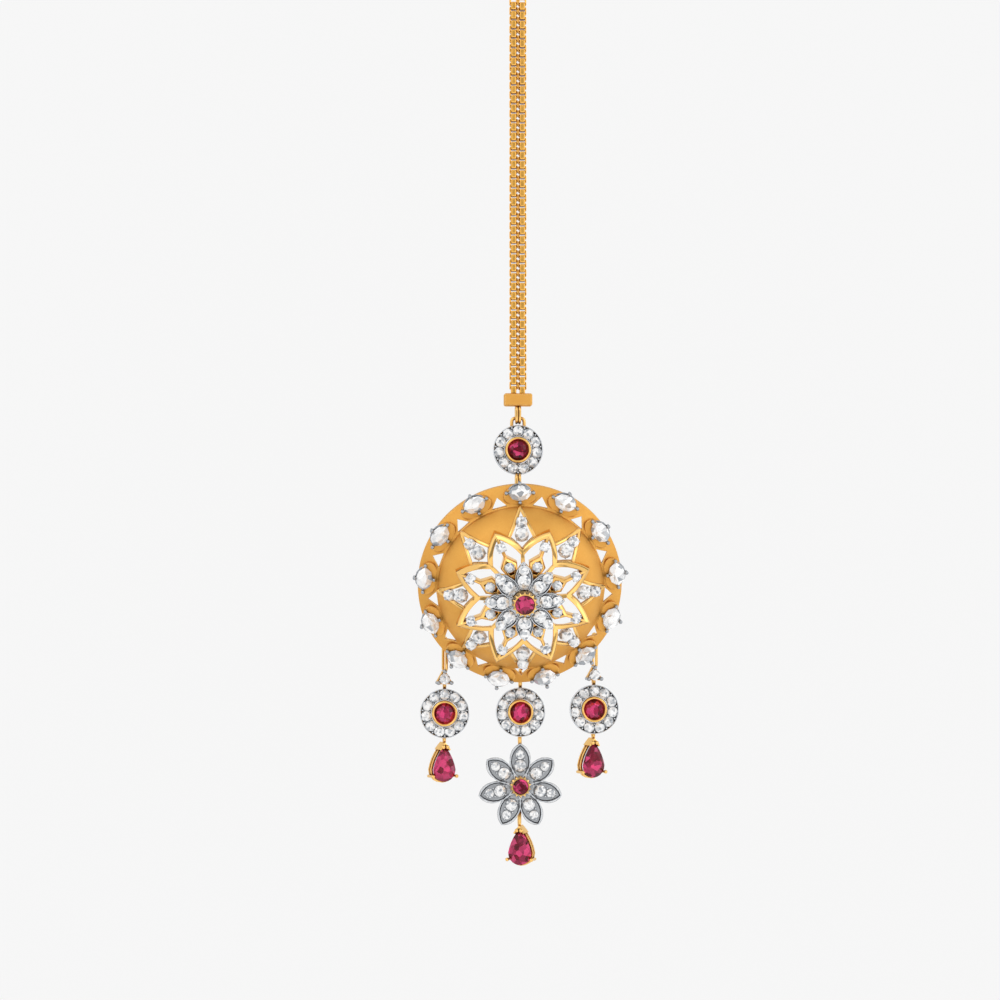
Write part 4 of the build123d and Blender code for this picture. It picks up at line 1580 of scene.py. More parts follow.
@dataclass(frozen=True)
class Medallion:
    """The domed plate, the lotus of gold ribbons over it, and all their stones.

    Profiles are (radius, height); the plate itself is the CAD one.
    """

    face: Face
    # The plate: its sloping band and its dome.
    band: tuple[Flat, Flat] = ((16.4, -2.2), (13.3, -0.1))
    dome: tuple[Flat, Flat, Flat] = ((13.2, 0.45), (11.35, 3.0), (7.0, 5.35))
    # The lotus: its petals' corners and sides, and its heights. Each ribbon is given by its
    # width and how far in its upper edges are softened.
    petals: int = 8
    tip: float = 11.4
    valley: float = 7.75
    bulge: Flat = (0.825, 0.163)
    wall: Flat = (0.82, 0.24)
    peak: float = 6.3
    slope: float = 0.3
    roof: float = 0.75
    ceiling: float = 8.02
    thickness: float = 0.55
    underside: tuple[Flat, Flat, Flat] = ((14.0, 2.6), (11.35, 4.1), (6.9, 5.42))
    hub: Flat = (4.4, 0.9)
    hub_soft: float = 0.08
    hub_sides: int = 48
    rhomb: tuple[Flat, ...] = ((7.6, 0), (5.85, 1.4), (4.0, 0.7), (4.0, -0.7), (5.85, -1.4))
    rhomb_wall: Flat = (0.56, 0.18)
    rhomb_floor: Place = (0.3, 6.6, 0.35)
    bar: Flat = (0.5, 0.16)
    spoke: Flat = (0.6, 0.18)
    ribbon_starts: Flat = (7.15, 4.1)
    ribbon_steps: tuple[int, float] = (7, 0.6)
    # The raised edges of the kite windows.
    kite_tip: float = 12.8
    kite_side: Flat = (9.15, 1.83)
    kite_rim: Flat = (0.56, 0.18)
    kite_relief: Flat = (-0.3, 0.26)
    kite_runs: int = 6
    kite_blunt: float = 0.02
    # Rings of collets: circle, height and collet.
    kite_collets: tuple[tuple[float, float, Collet], ...] = (
        (9.66, 4.1, Collet(1.12)),
        (11.6, 3.5, Collet(0.9, depth=0.45)),
    )
    petal_collets: tuple[tuple[float, float, Collet], ...] = (
        (8.93, 6.95, Collet(0.82)),
        (5.68, 7.6, Collet(0.8)),
    )
    # The border's stones, their claw settings and the pads below them.
    rim_stones: int = 13
    rim_circle: float = 15.5
    rim_half: Flat = (1.95, 1.36)
    # A setting's floor: how much smaller than the stone, along and across, and its heights.
    pocket_fit: Flat = (0.25, 0.2)
    pocket: Flat = (-0.75, -0.48)
    # Its rail: how much larger than the stone, its width and its top.
    rail: Place = (0.12, 0.5, -0.42)
    rim_claw: float = 0.25
    rim_claw_out: float = 0.2
    rim_claw_top: float = 0.55
    lobe_circle: float = 14.83
    lobe_half: Flat = (1.5, 2.6)
    lobe_top: float = -0.36
    lobe_soft: float = 0.08
    lobe_root: float = 0.3
    lobe_sides: int = 32
    body: str = "medallion_body"

    @property
    def step(self) -> float:
        """Angle from one petal to the next."""
        return TURN / self.petals

    def dome_height(self, x: float, y: float) -> float:
        """Height of the plate's dome."""
        return circle_height(self.dome, math.hypot(x, y))

    def over_dome(self, relief: float) -> Height:
        """A height that stands over the dome by an even relief."""
        return lambda x, y: self.dome_height(x, y) + relief

    def band_height(self, x: float, y: float) -> float:
        """Height of the band that slopes down from the dome's foot to the plate's edge.

        Args:
            x: Place across the plate.
            y: Place up the plate.

        Returns:
            The height.
        """
        (edge, low), (foot, high) = self.band
        share = (math.hypot(x, y) - foot) / (edge - foot)
        return high + (low - high) * min(max(share, 0.0), 1.0)

    def ribbon_bottom(self, x: float, y: float) -> float:
        """Height of the underside of the lotus."""
        radius, (inner, flat) = math.hypot(x, y), self.underside[2]
        return flat if radius < inner else circle_height(self.underside, radius)

    def ribbon_top(self, x: float, y: float) -> float:
        """Height of the roofed petals of the lotus.

        Args:
            x: Place across the plate.
            y: Place up the plate.

        Returns:
            The height.
        """
        off = math.atan2(y, x) % self.step - self.step / 2
        along, across = polar(math.hypot(x, y), off)
        height = self.peak + self.slope * (self.tip - along) - self.roof * abs(across)
        return min(max(height, self.ribbon_bottom(x, y) + self.thickness), self.ceiling)

    def ribbon(self, width: float, soft: float) -> Band:
        """A ribbon of the lotus, by its width and softness."""
        return Band(width, self.ribbon_top, self.ribbon_bottom, soft)

    def lotus(self) -> Solid:
        """The ribbons of the lotus: its star, hub, rhombs, middle bars and spokes.

        Returns:
            All of them.
        """
        vx, vy = polar(self.valley, self.step / 2)
        fx, fy = (share * self.tip for share in self.bulge)
        rise = arc((vx, -vy), (fx, -fy), (self.tip, 0), 6)
        fall = arc((self.tip, 0), (fx, fy), (vx, vy), 6)
        middles = [self.step * (k + 0.5) for k in range(self.petals)]
        star = [p for middle in middles for p in turned(rise[:-1] + fall[:-1], middle)]
        radius, thick = self.hub
        hub = [polar(radius, TURN * k / self.hub_sides) for k in range(self.hub_sides)]
        parts = [
            self.ribbon(*self.wall).along(star, closed=True),
            self.ribbon(thick, self.hub_soft).along(hub, closed=True),
        ]
        frame = self.ribbon(*self.rhomb_wall)
        edge, low, thick = self.rhomb_floor
        count, run = self.ribbon_steps
        bar, spoke = (
            ([(start + run * n, -width / 2) for n in range(count)], self.ribbon(width, soft))
            for start, (width, soft) in zip(self.ribbon_starts, (self.bar, self.spoke))
        )
        for k, middle in enumerate(middles):
            rhomb = turned(self.rhomb, middle)
            parts.append(frame.along(rhomb, closed=True))
            parts.append(slab(rhomb, ((edge, low), (edge, low + thick))))
            for (path, band), angle in ((bar, middle), (spoke, self.step * k)):
                parts.append(band.along(turned(path, angle), closed=False))
        return joined(*parts)

    def kite_rims(self) -> Solid:
        """The raised bright edges of the kite windows, from the lotus to the ridge.

        Returns:
            All of them.
        """
        low, high = (self.over_dome(relief) for relief in self.kite_relief)
        width, soft = self.kite_rim
        band = Band(width, high, low, soft)
        (sx, sy), tip, blunt = self.kite_side, self.kite_tip, self.kite_blunt
        share = [k / self.kite_runs for k in range(self.kite_runs + 1)]
        path = [(sx + (tip - blunt - sx) * s, -(sy + (blunt - sy) * s)) for s in share]
        path += [(tip, 0.0)] + [(x, -y) for x, y in reversed(path)]
        run = band.along(path[::-1], closed=False)
        return Ring(self.petals, 0.0, 0.0).of(run, Finishes.POLISHED)

    def settings(
        self, rows: Sequence[tuple[float, float, Collet]], start: float, stones: bool
    ) -> Solid:
        """Rings of collets, or the stones in them.

        Args:
            rows: Circle, height and collet of each ring.
            start: Angle of the first one.
            stones: Whether the stones are made, or the metal.

        Returns:
            The solids.
        """
        parts = []
        for circle, height, collet in rows:
            unit = collet.stone() if stones else collet.metal()
            finish = Finishes.MELEE if stones else Finishes.RHODIUM
            parts.append(Ring(self.petals, circle, start, height).of(unit, finish))
        return joined(*parts)

    def lobes(self) -> None:
        """The flat matt pads that the rose-cut stones sit on, out of the plate's slope."""
        deep, half = self.lobe_half
        outline = []
        for k in range(self.lobe_sides):
            x, y = polar(1.0, TURN * k / self.lobe_sides)
            outline.append((self.lobe_circle + deep * x, half * y))
        top, soft = self.lobe_top, self.lobe_soft
        foot = [Vector((x, y, self.band_height(x, y) - self.lobe_root)) for x, y in outline]
        wall = [Vector((x, y, top - soft)) for x, y in outline]
        brow = [Vector((x, y, top)) for x, y in inset(outline, soft)]
        pad = strips((foot, wall, brow), closed=False)
        pads = Piece("border_lobes", Finishes.SATIN)
        pads.add(Ring(self.rim_stones, 0.0).of(pad, Finishes.SATIN), self.face)
        pads.make(self.body, sharp=BLOCK_EDGES)

    def border(self) -> None:
        """The rose-cut stones round the edge and their claw settings."""
        ring = Ring(self.rim_stones, self.rim_circle, spin=TURN / 4)
        long, wide = self.rim_half
        stones = Piece("border_rose_cuts", Finishes.ROSE)
        stones.add(ring.of(RoseCut().faceted(marquise(long, wide, 4)), Finishes.ROSE), self.face)
        names = [f"rim_stone_{k + 1:02d}" for k in range(self.rim_stones)]
        stones.make(self.body, names, sharp=FACETED)
        (low, high), (less_long, less_wide) = self.pocket, self.pocket_fit
        more, width, top = self.rail
        rail = Band(width, level(top), level(low))
        parts = [
            slab(marquise(long - less_long, wide - less_wide), ((0, low), (0, high))),
            rail.along(marquise(long + more, wide + more), closed=True),
        ]
        post = claw(self.rim_claw, low, self.rim_claw_top, 1.3)
        x, y = long + self.rim_claw_out, wide + self.rim_claw_out
        for spot in ((x, 0), (-x, 0), (0, y), (0, -y)):
            parts.append(shifted(post, *spot))
        mounts = Piece("border_claw_settings", Finishes.CLAW)
        mounts.add(ring.of(joined(*parts), Finishes.CLAW), self.face)
        mounts.make(self.body, ["rim_settings"])

    def build(self) -> None:
        """Makes everything that is fixed to the plate."""
        for name, solid, nodes in (
            ("lotus_ribbons", self.lotus(), ["lotus_frame"]),
            ("kite_rims", self.kite_rims(), []),
        ):
            ribbons = Piece(name, Finishes.POLISHED).add(solid, self.face)
            ribbons.make(self.body, nodes, sharp=RIBBON_EDGES)
        for name, rows, start in (
            ("kite", self.kite_collets, 0.0),
            ("petal", self.petal_collets, self.step / 2),
        ):
            for part, finish, stones, sharp in (
                ("collets", Finishes.RHODIUM, False, ROUNDED),
                ("diamonds", Finishes.MELEE, True, FACETED),
            ):
                piece = Piece(f"{name}_{part}", finish)
                piece.add(self.settings(rows, start, stones), self.face)
                piece.make(self.body, [f"{name}_settings"], sharp)
        self.lobes()
        self.border()


# ---------------------------------------------------------------- the two flowers
@dataclass(frozen=True)
class StarFlower:
    """Pointed petals with two diamonds each round a ruby in a crown of claws."""

    name: str
    node: str
    face: Face
    petals: int
    start: float
    back: float
    top: float
    tip: float
    base: float
    half_width: float
    stones: tuple[Flat, Flat]
    ruby_radius: float
    ruby_girdle: float
    claws: int
    disc: float
    claw_radius: float = 0.18
    reach: float = 0.48
    flare: float = 0.3
    rim: float = 0.22
    rim_soft: float = 0.07
    groove: float = 0.14
    bed: float = -0.26
    depth: float = 0.9
    bead: float = 0.13
    grain: float = 0.0
    lift: float = -0.12
    ruby_cut: Cut = Cut(table=0.5, crown=0.32, pavilion=0.72)
    body: str = "medallion_body"

    def petal(self) -> Solid:
        """One petal with its rim and the beads that hold its stones.

        Returns:
            The petal along x.
        """
        outline = leaf(self.base, self.tip, self.half_width)
        floor = self.top - self.depth
        low = floor - 0.1
        rim = Band(self.rim, level(self.top), level(low), self.rim_soft)
        edge, bed = self.rim + self.groove, self.top + self.bed
        parts = [
            slab(outline, ((0.1, self.back), (0.0, self.back + 0.1), (0.0, floor))),
            rim.along(outline, closed=True),
            slab(outline, ((edge, low), (edge, bed - 0.08), (edge + 0.06, bed))),
        ]
        (inner, r_in), (outer, r_out) = self.stones
        between, behind_it = (inner + outer + r_in - r_out) / 2, inner - 0.75 * r_in
        bead = claw(self.bead, floor - 0.05, self.top + 0.08, 1.15, 8)
        for x, y in (
            (between, 0.62 * r_in + 0.1),
            (between, -0.62 * r_in - 0.1),
            (behind_it, 0.75 * r_in),
            (behind_it, -0.75 * r_in),
            (outer + r_out + 0.05, 0.0),
        ):
            parts.append(shifted(bead, x, y))
        return joined(*parts)

    def grained_edge(self) -> Solid:
        """The row of fine beads along the foot of one petal's rim.

        Returns:
            The beads.
        """
        edge = leaf(self.base + 1.2, self.tip - 0.05, self.half_width - 0.04, 12)
        outline = [Vector((x, y, self.top - 0.18)) for x, y in edge]
        values = {"Spacing": 2.3 * self.grain, "Bead": self.grain}
        return BEADED_EDGE.solid((outline, [tuple(range(len(edge)))]), Finishes.CLAW, values)

    def crown(self) -> Solid:
        """The gold cup: a rolled edge over the ruby and a ring of outward points.

        Returns:
            The crown.
        """
        seat, high = self.ruby_radius, self.ruby_girdle
        low = self.top + 0.05
        profile = (
            (0.55 * seat, low),
            (seat + self.flare, low),
            (seat + 0.14, high - 0.4),
            (seat + 0.15, high + 0.05),
            (seat + 0.08, high + 0.17),
            (seat - 0.03, high + 0.17),
            (seat + 0.03, high),
            (seat + 0.02, high - 0.2),
            (0.6 * seat, low + 0.3),
        )
        wide, near, far = self.claw_radius, seat + 0.08, seat + self.reach
        foot = [Vector((near, y, low + 0.2)) for y in (-wide, wide)]
        brow = [Vector((near, y, high + 0.12)) for y in (wide, -wide)]
        point = [Vector((far, 0, high - 0.12)), Vector((far - 0.12, 0, low + 0.2))]
        faces: Faces = [(0, 3, 2, 1), (0, 1, 5), (3, 4, 2), (1, 2, 4, 5), (0, 5, 4, 3)]
        ring = Ring(self.claws, 0.0, self.start)
        claws = ring.of((foot + brow + point, faces), Finishes.POLISHED)
        return joined(turned_ring(profile, 40), claws)

    def build(self, loops: Callable[[Piece], None] | None = None) -> None:
        """Makes the flower.

        Args:
            loops: Adds the gold loops on its back, where it has them.
        """
        ring = Ring(self.petals, 0.0, self.start)
        # The disc's back lies a little behind the petals' backs, so that no faces coincide.
        low, high, edge = self.back - 0.04, self.top - 0.35, self.disc - 0.1
        disc = ((edge, low), (self.disc, low + 0.1), (self.disc, high), (edge, high + 0.1))
        petals = joined(ring.of(self.petal(), Finishes.RHODIUM), turned_solid(disc, 40))
        stones = []
        for circle, radius in self.stones:
            spread = Ring(self.petals, circle, self.start, self.top + self.lift)
            stones.append(spread.of(Cut().round(radius), Finishes.MELEE))
        ruby = shifted(self.ruby_cut.round(self.ruby_radius), height=self.ruby_girdle)
        parts = [
            ("petals", Finishes.RHODIUM, petals, "", ROUNDED),
            ("diamonds", Finishes.MELEE, joined(*stones), "", FACETED),
            ("crown", Finishes.POLISHED, self.crown(), "_claws", ROUNDED),
            ("centre_ruby", Finishes.RUBY, ruby, "_ruby", FACETED),
        ]
        if self.grain:
            grains = ring.of(self.grained_edge(), Finishes.CLAW)
            parts.insert(0, ("grained_edge", Finishes.CLAW, grains, "", ROUNDED))
        for part, finish, solid, node, sharp in parts:
            piece = Piece(f"{self.name}_{part}", finish).add(solid, self.face)
            piece.make(self.body, [f"{self.node}{node}"], sharp)
        if loops:
            gold = Piece(f"{self.name}_loops", Finishes.POLISHED)
            loops(gold)
            gold.make(self.body, [self.node])


# ---------------------------------------------------------------- drops
@dataclass(frozen=True)
class PearDrop:
    """A pear ruby in a gold basket that hangs by its own loop."""

    length: float = 6.0
    width: float = 4.0
    rails: Flat = (-1.75, -0.95)
    rail: Flat = (0.4, 0.3)
    cup_wall: float = 0.34
    lump: Place = (0.36, 0.3, 0.8)
    claw_top: float = 0.5
    claw_reach: float = 0.85
    claw_angle: float = 27.0
    claw_radius: float = 0.26
    cut: Cut = Cut(table=0.5, star=0.76, crown=0.31, girdle=0.06, pavilion=0.72, lower=0.35)
    fit: float = 0.98
    body: str = "medallion_body"

    def basket(self) -> Solid:
        """The rails, the V claw over the tip and the two claws below.

        Returns:
            The basket.
        """
        wide, high = self.rail
        line = inset(pear(self.length, self.width), -0.12)
        parts = []
        for height in self.rails:
            rail = Band(wide, level(height + high), level(height), soft=0.1)
            parts.append(rail.along(line, closed=True))
        low, top, tip = self.rails[0], self.claw_top, self.length / 2
        outline = inset(pear(self.length, self.width, 20), -self.cup_wall)
        near = sorted(p for p in outline if p[1] > tip - self.claw_reach)
        cup = Band(self.cup_wall, level(top), level(low), soft=0.14)
        parts.append(cup.along(near[::-1], closed=False))
        across, down, squash = self.lump
        lump = ball(self.cup_wall, squash)
        parts += [shifted(lump, side * across, tip - down, top) for side in (-1, 1)]
        reach = self.width / 2 + 0.04 + self.claw_radius
        x, y = polar(reach, math.radians(self.claw_angle))
        post = claw(self.claw_radius, low, top + 0.1, 1.2, 12)
        parts += [shifted(post, side * x, self.width / 2 - tip - y) for side in (-1, 1)]
        return joined(*parts)

    def build(self, name: str, face: Face, crown: Vector) -> None:
        """Makes a pear drop.

        Args:
            name: The drop's name.
            face: Its face.
            crown: The crown of the staple that it hangs on.
        """
        basket = Piece(f"{name}_pear_gallery", Finishes.POLISHED).add(self.basket(), face)
        tip = face.at(0, self.length / 2)
        HANG_LOOP.add_to(basket, tip.x, crown.y, loop_top(crown), tip.z + 0.15)
        basket.make(self.body, [f"{name}_pear_basket"])
        outline = [(self.fit * x, self.fit * y) for x, y in pear(self.length, self.width)]
        stone = shifted(self.cut.faceted(outline, self.width / 2, culet=(0.0, -0.5)), height=-0.05)
        ruby = Piece(f"{name}_pear_ruby", Finishes.RUBY).add(stone, face)
        ruby.make(self.body, [f"{name}_pear"], sharp=FACETED)


@dataclass(frozen=True)
class ClawDrop:
    """A diamond in three claws, hung from the medallion's edge by a long bail."""

    stone_radius: float = 0.88
    back: float = -1.2
    # One of the frame's three corners and the hollow after it, as (angle, radius).
    edge: tuple[Flat, ...] = ((-0.22, 1.3), (0.22, 1.3), (0.6, 0.95), (TURN / 6, 0.86), (1.5, 0.95))
    wall: float = 0.28
    # Its upper and its lower wire: share of the outline, foot and height.
    frames: tuple[Place, ...] = ((1.0, -0.7, 0.35), (0.98, -1.2, 0.3))
    claw_circle: float = 1.24
    claw_radius: float = 0.27
    claw_top: float = 0.42
    bail: Loop = Loop(depth=1.7, wall=0.45, width=0.45, turn=24.0, sides=10)
    body: str = "medallion_body"

    def gallery(self) -> Solid:
        """The gold frame of three concave sides behind the stone.

        Returns:
            Its upper and its lower wire.
        """
        outline: list[Flat] = []
        for k in range(3):
            turn = TURN / 4 + TURN * k / 3
            outline += [polar(radius, turn + off) for off, radius in self.edge]
        wires = []
        for share, low, high in self.frames:
            wire = Band(self.wall, level(low + high), level(low), soft=0.08)
            wires.append(wire.along([(share * x, share * y) for x, y in outline], closed=True))
        return joined(*wires)

    def build(self, name: str, face: Face, crown: Vector, carrier: Vector) -> None:
        """Makes a claw drop.

        Args:
            name: The drop's name.
            face: Its face.
            crown: The crown of the staple that carries it.
            carrier: The crown of the staple on its own back.
        """
        gold = Piece(f"{name}_claw_gallery", Finishes.POLISHED).add(self.gallery(), face)
        self.bail.add_to(gold, crown.x, crown.y, loop_top(crown, self.bail), face.origin.z + 1.0)
        STAPLE.add_to(gold, carrier, FRONT)
        gold.make(self.body, [f"{name}_claw_setting"])
        post = claw(self.claw_radius, self.back, self.claw_top, 1.3, 12)
        posts = Ring(3, self.claw_circle).of(post, Finishes.CLAW)
        heads = Piece(f"{name}_claw_heads", Finishes.CLAW).add(posts, face)
        heads.make(self.body, [f"{name}_claw_setting"])
        stone = Piece(f"{name}_claw_stone", Finishes.MELEE)
        stone.add(Cut().round(self.stone_radius), face)
        stone.make(self.body, [f"{name}_claw_diamond"], sharp=FACETED)


@dataclass(frozen=True)
class Hanging:
    """Where the hung pieces lie, worked out from the chain's bar downwards."""

    chain: Chain = Chain()
    arch: Staple = Staple(wire=0.55, half=1.0, stand=1.12)
    halo: RoundCluster = RoundCluster()
    tilt: float = 15.0
    roll: float = 1.5
    bail_reach: float = 16.22
    bail_back: float = 0.48
    # The staples on the medallion's edge, left, right and lowest, as (radius, degrees).
    edge_staples: tuple[Flat, Flat, Flat] = ((15.6, 218.8), (15.6, 321.2), (15.6, 270.0))
    staple_height: float = -4.35
    halo_staple: float = 3.55
    claw_turn: float = 12.0
    claw_staple: float = 0.6
    pear_turn: float = 21.0
    flower_staple: float = 4.2
    # How far each piece's middle lies below the edge's staple.
    side_drops: Place = (6.1, 11.7, 19.9)
    centre_drops: Place = (6.2, 18.25, 28.2)
    claw_drop: ClawDrop = ClawDrop()
    pear: PearDrop = PearDrop()
    body: str = "medallion_body"

    def pivot(self, loop_bottom: float) -> float:
        """Height of an arch's wire that rests in the bottom of a chain's loop."""
        return loop_bottom + self.chain.loop.wall + RING_PLAY + self.arch.wire / 2

    @property
    def top_face(self) -> Face:
        """The upper cluster's face."""
        pivot = self.pivot(self.chain.loop_bottom)
        return facing(Vector((0, 0, pivot - self.arch.stand - self.halo.radius)))

    @property
    def lower_loop(self) -> Flat:
        """Heights of the top and the bottom of the upper cluster's own loop."""
        top = self.top_face.origin.z - self.halo.radius + LOOP_SINK
        return top, top - self.chain.loop_height

    @property
    def medallion_face(self) -> Face:
        """The medallion's face, which hangs leaning forwards and slightly turned.

        Returns:
            The face.
        """
        lean, roll = math.radians(self.tilt), math.radians(self.roll)
        down = self.pivot(self.lower_loop[1]) - self.bail_reach
        middle = Vector((self.bail_reach * math.sin(roll), -self.bail_back, down))
        incline = Vector((0, -math.sin(lean), math.cos(lean)))
        x_dir = Vector((math.cos(roll), 0, 0)) + incline * math.sin(roll)
        return Face(middle, x_dir, Vector((0, -math.cos(lean), -math.sin(lean))))

    def edge_staple(self, number: int) -> Vector:
        """The crown of a staple on the medallion's edge: left, right or lowest."""
        radius, angle = self.edge_staples[number]
        return self.medallion_face.at(*polar(radius, math.radians(angle)), self.staple_height)

    def upper_cluster(self) -> None:
        """The cluster between the chain and the medallion."""
        body = "upper_cluster"
        self.halo.build("top", self.top_face, body)
        gold = Piece("top_arch_and_loop", Finishes.POLISHED)
        self.arch.add_to(gold, UP * self.pivot(self.chain.loop_bottom), -UP)
        self.chain.loop.add_to(gold, 0, 0, *self.lower_loop)
        gold.make(body, ["top_halo"])

    def hung_halo(self, name: str, face: Face, carrier: Vector) -> Vector:
        """A round cluster with its gold loop and staple.

        Args:
            name: The cluster's name.
            face: Its face.
            carrier: The crown of the staple that it hangs on.

        Returns:
            The crown of its own staple.
        """
        self.halo.build(name, face, self.body)
        below = behind(face, self.halo_staple, self.halo.back)
        gold = Piece(f"{name}_halo_loops", Finishes.POLISHED)
        low = face.origin.z + self.halo.radius - 0.3
        HANG_LOOP.add_to(gold, carrier.x, carrier.y, loop_top(carrier), low)
        STAPLE.add_to(gold, below, FRONT)
        gold.make(self.body, [f"{name}_halo"])
        return below

    def under(self, crown: Vector, back: float, drop: float, turn: float = 0.0) -> Face:
        """The face of a piece in a line of drops.

        Args:
            crown: The crown of the line's first staple.
            back: How far back the piece's own staple hangs.
            drop: How far its middle lies below the crown.
            turn: Its turn about the vertical, in degrees.

        Returns:
            The face.
        """
        return facing(Vector((crown.x, back - HANG_FORWARD, crown.z - drop)), turn)

    def side_drop(self, name: str, number: int) -> None:
        """The three pieces that hang at one side of the medallion.

        Args:
            name: The side's name.
            number: The number of its staple.
        """
        crown = self.edge_staple(number)
        first, second, third = self.side_drops
        face = self.under(crown, crown.y, first, self.claw_turn)
        carrier = behind(face, self.claw_staple, self.claw_drop.back)
        self.claw_drop.build(name, face, crown, carrier)
        staple = self.hung_halo(name, self.under(crown, carrier.y, second), carrier)
        self.pear.build(name, self.under(crown, staple.y, third, self.pear_turn), staple)

    def centre_drop(self) -> None:
        """The cluster, flower and pear that hang below the medallion."""
        crown = self.edge_staple(2)
        first, second, third = self.centre_drops
        staple = self.hung_halo("centre", self.under(crown, crown.y, first), crown)
        face = self.under(crown, staple.y, second)
        flower = StarFlower(
            "centre_flower",
            "flower",
            face,
            petals=7,
            start=TURN / 4,
            back=-0.6,
            top=0.6,
            tip=6.95,
            base=1.0,
            half_width=1.7,
            stones=((3.35, 0.94), (5.13, 0.73)),
            ruby_radius=1.3,
            ruby_girdle=1.75,
            claws=14,
            disc=2.3,
            rim=0.2,
            groove=0.09,
            grain=0.07,
        )
        below = behind(face, self.flower_staple, flower.back)

        def loops(gold: Piece) -> None:
            """Adds the flower's loop and staple.

            Args:
                gold: The piece that they are part of.
            """
            low = face.origin.z + flower.tip - 0.7
            HANG_LOOP.add_to(gold, staple.x, staple.y, loop_top(staple), low)
            STAPLE.add_to(gold, below, FRONT)

        flower.build(loops)
        self.pear.build("centre", self.under(crown, below.y, third, -self.pear_turn), below)


# ---------------------------------------------------------------- the studio
@dataclass(frozen=True)
class SoftPatch:
    """A lighter or darker part of the studio's walls.

    The edge and the full part are cosines of the angle from its middle.
    """

    way: Place
    edge: float
    full: float
    amount: float


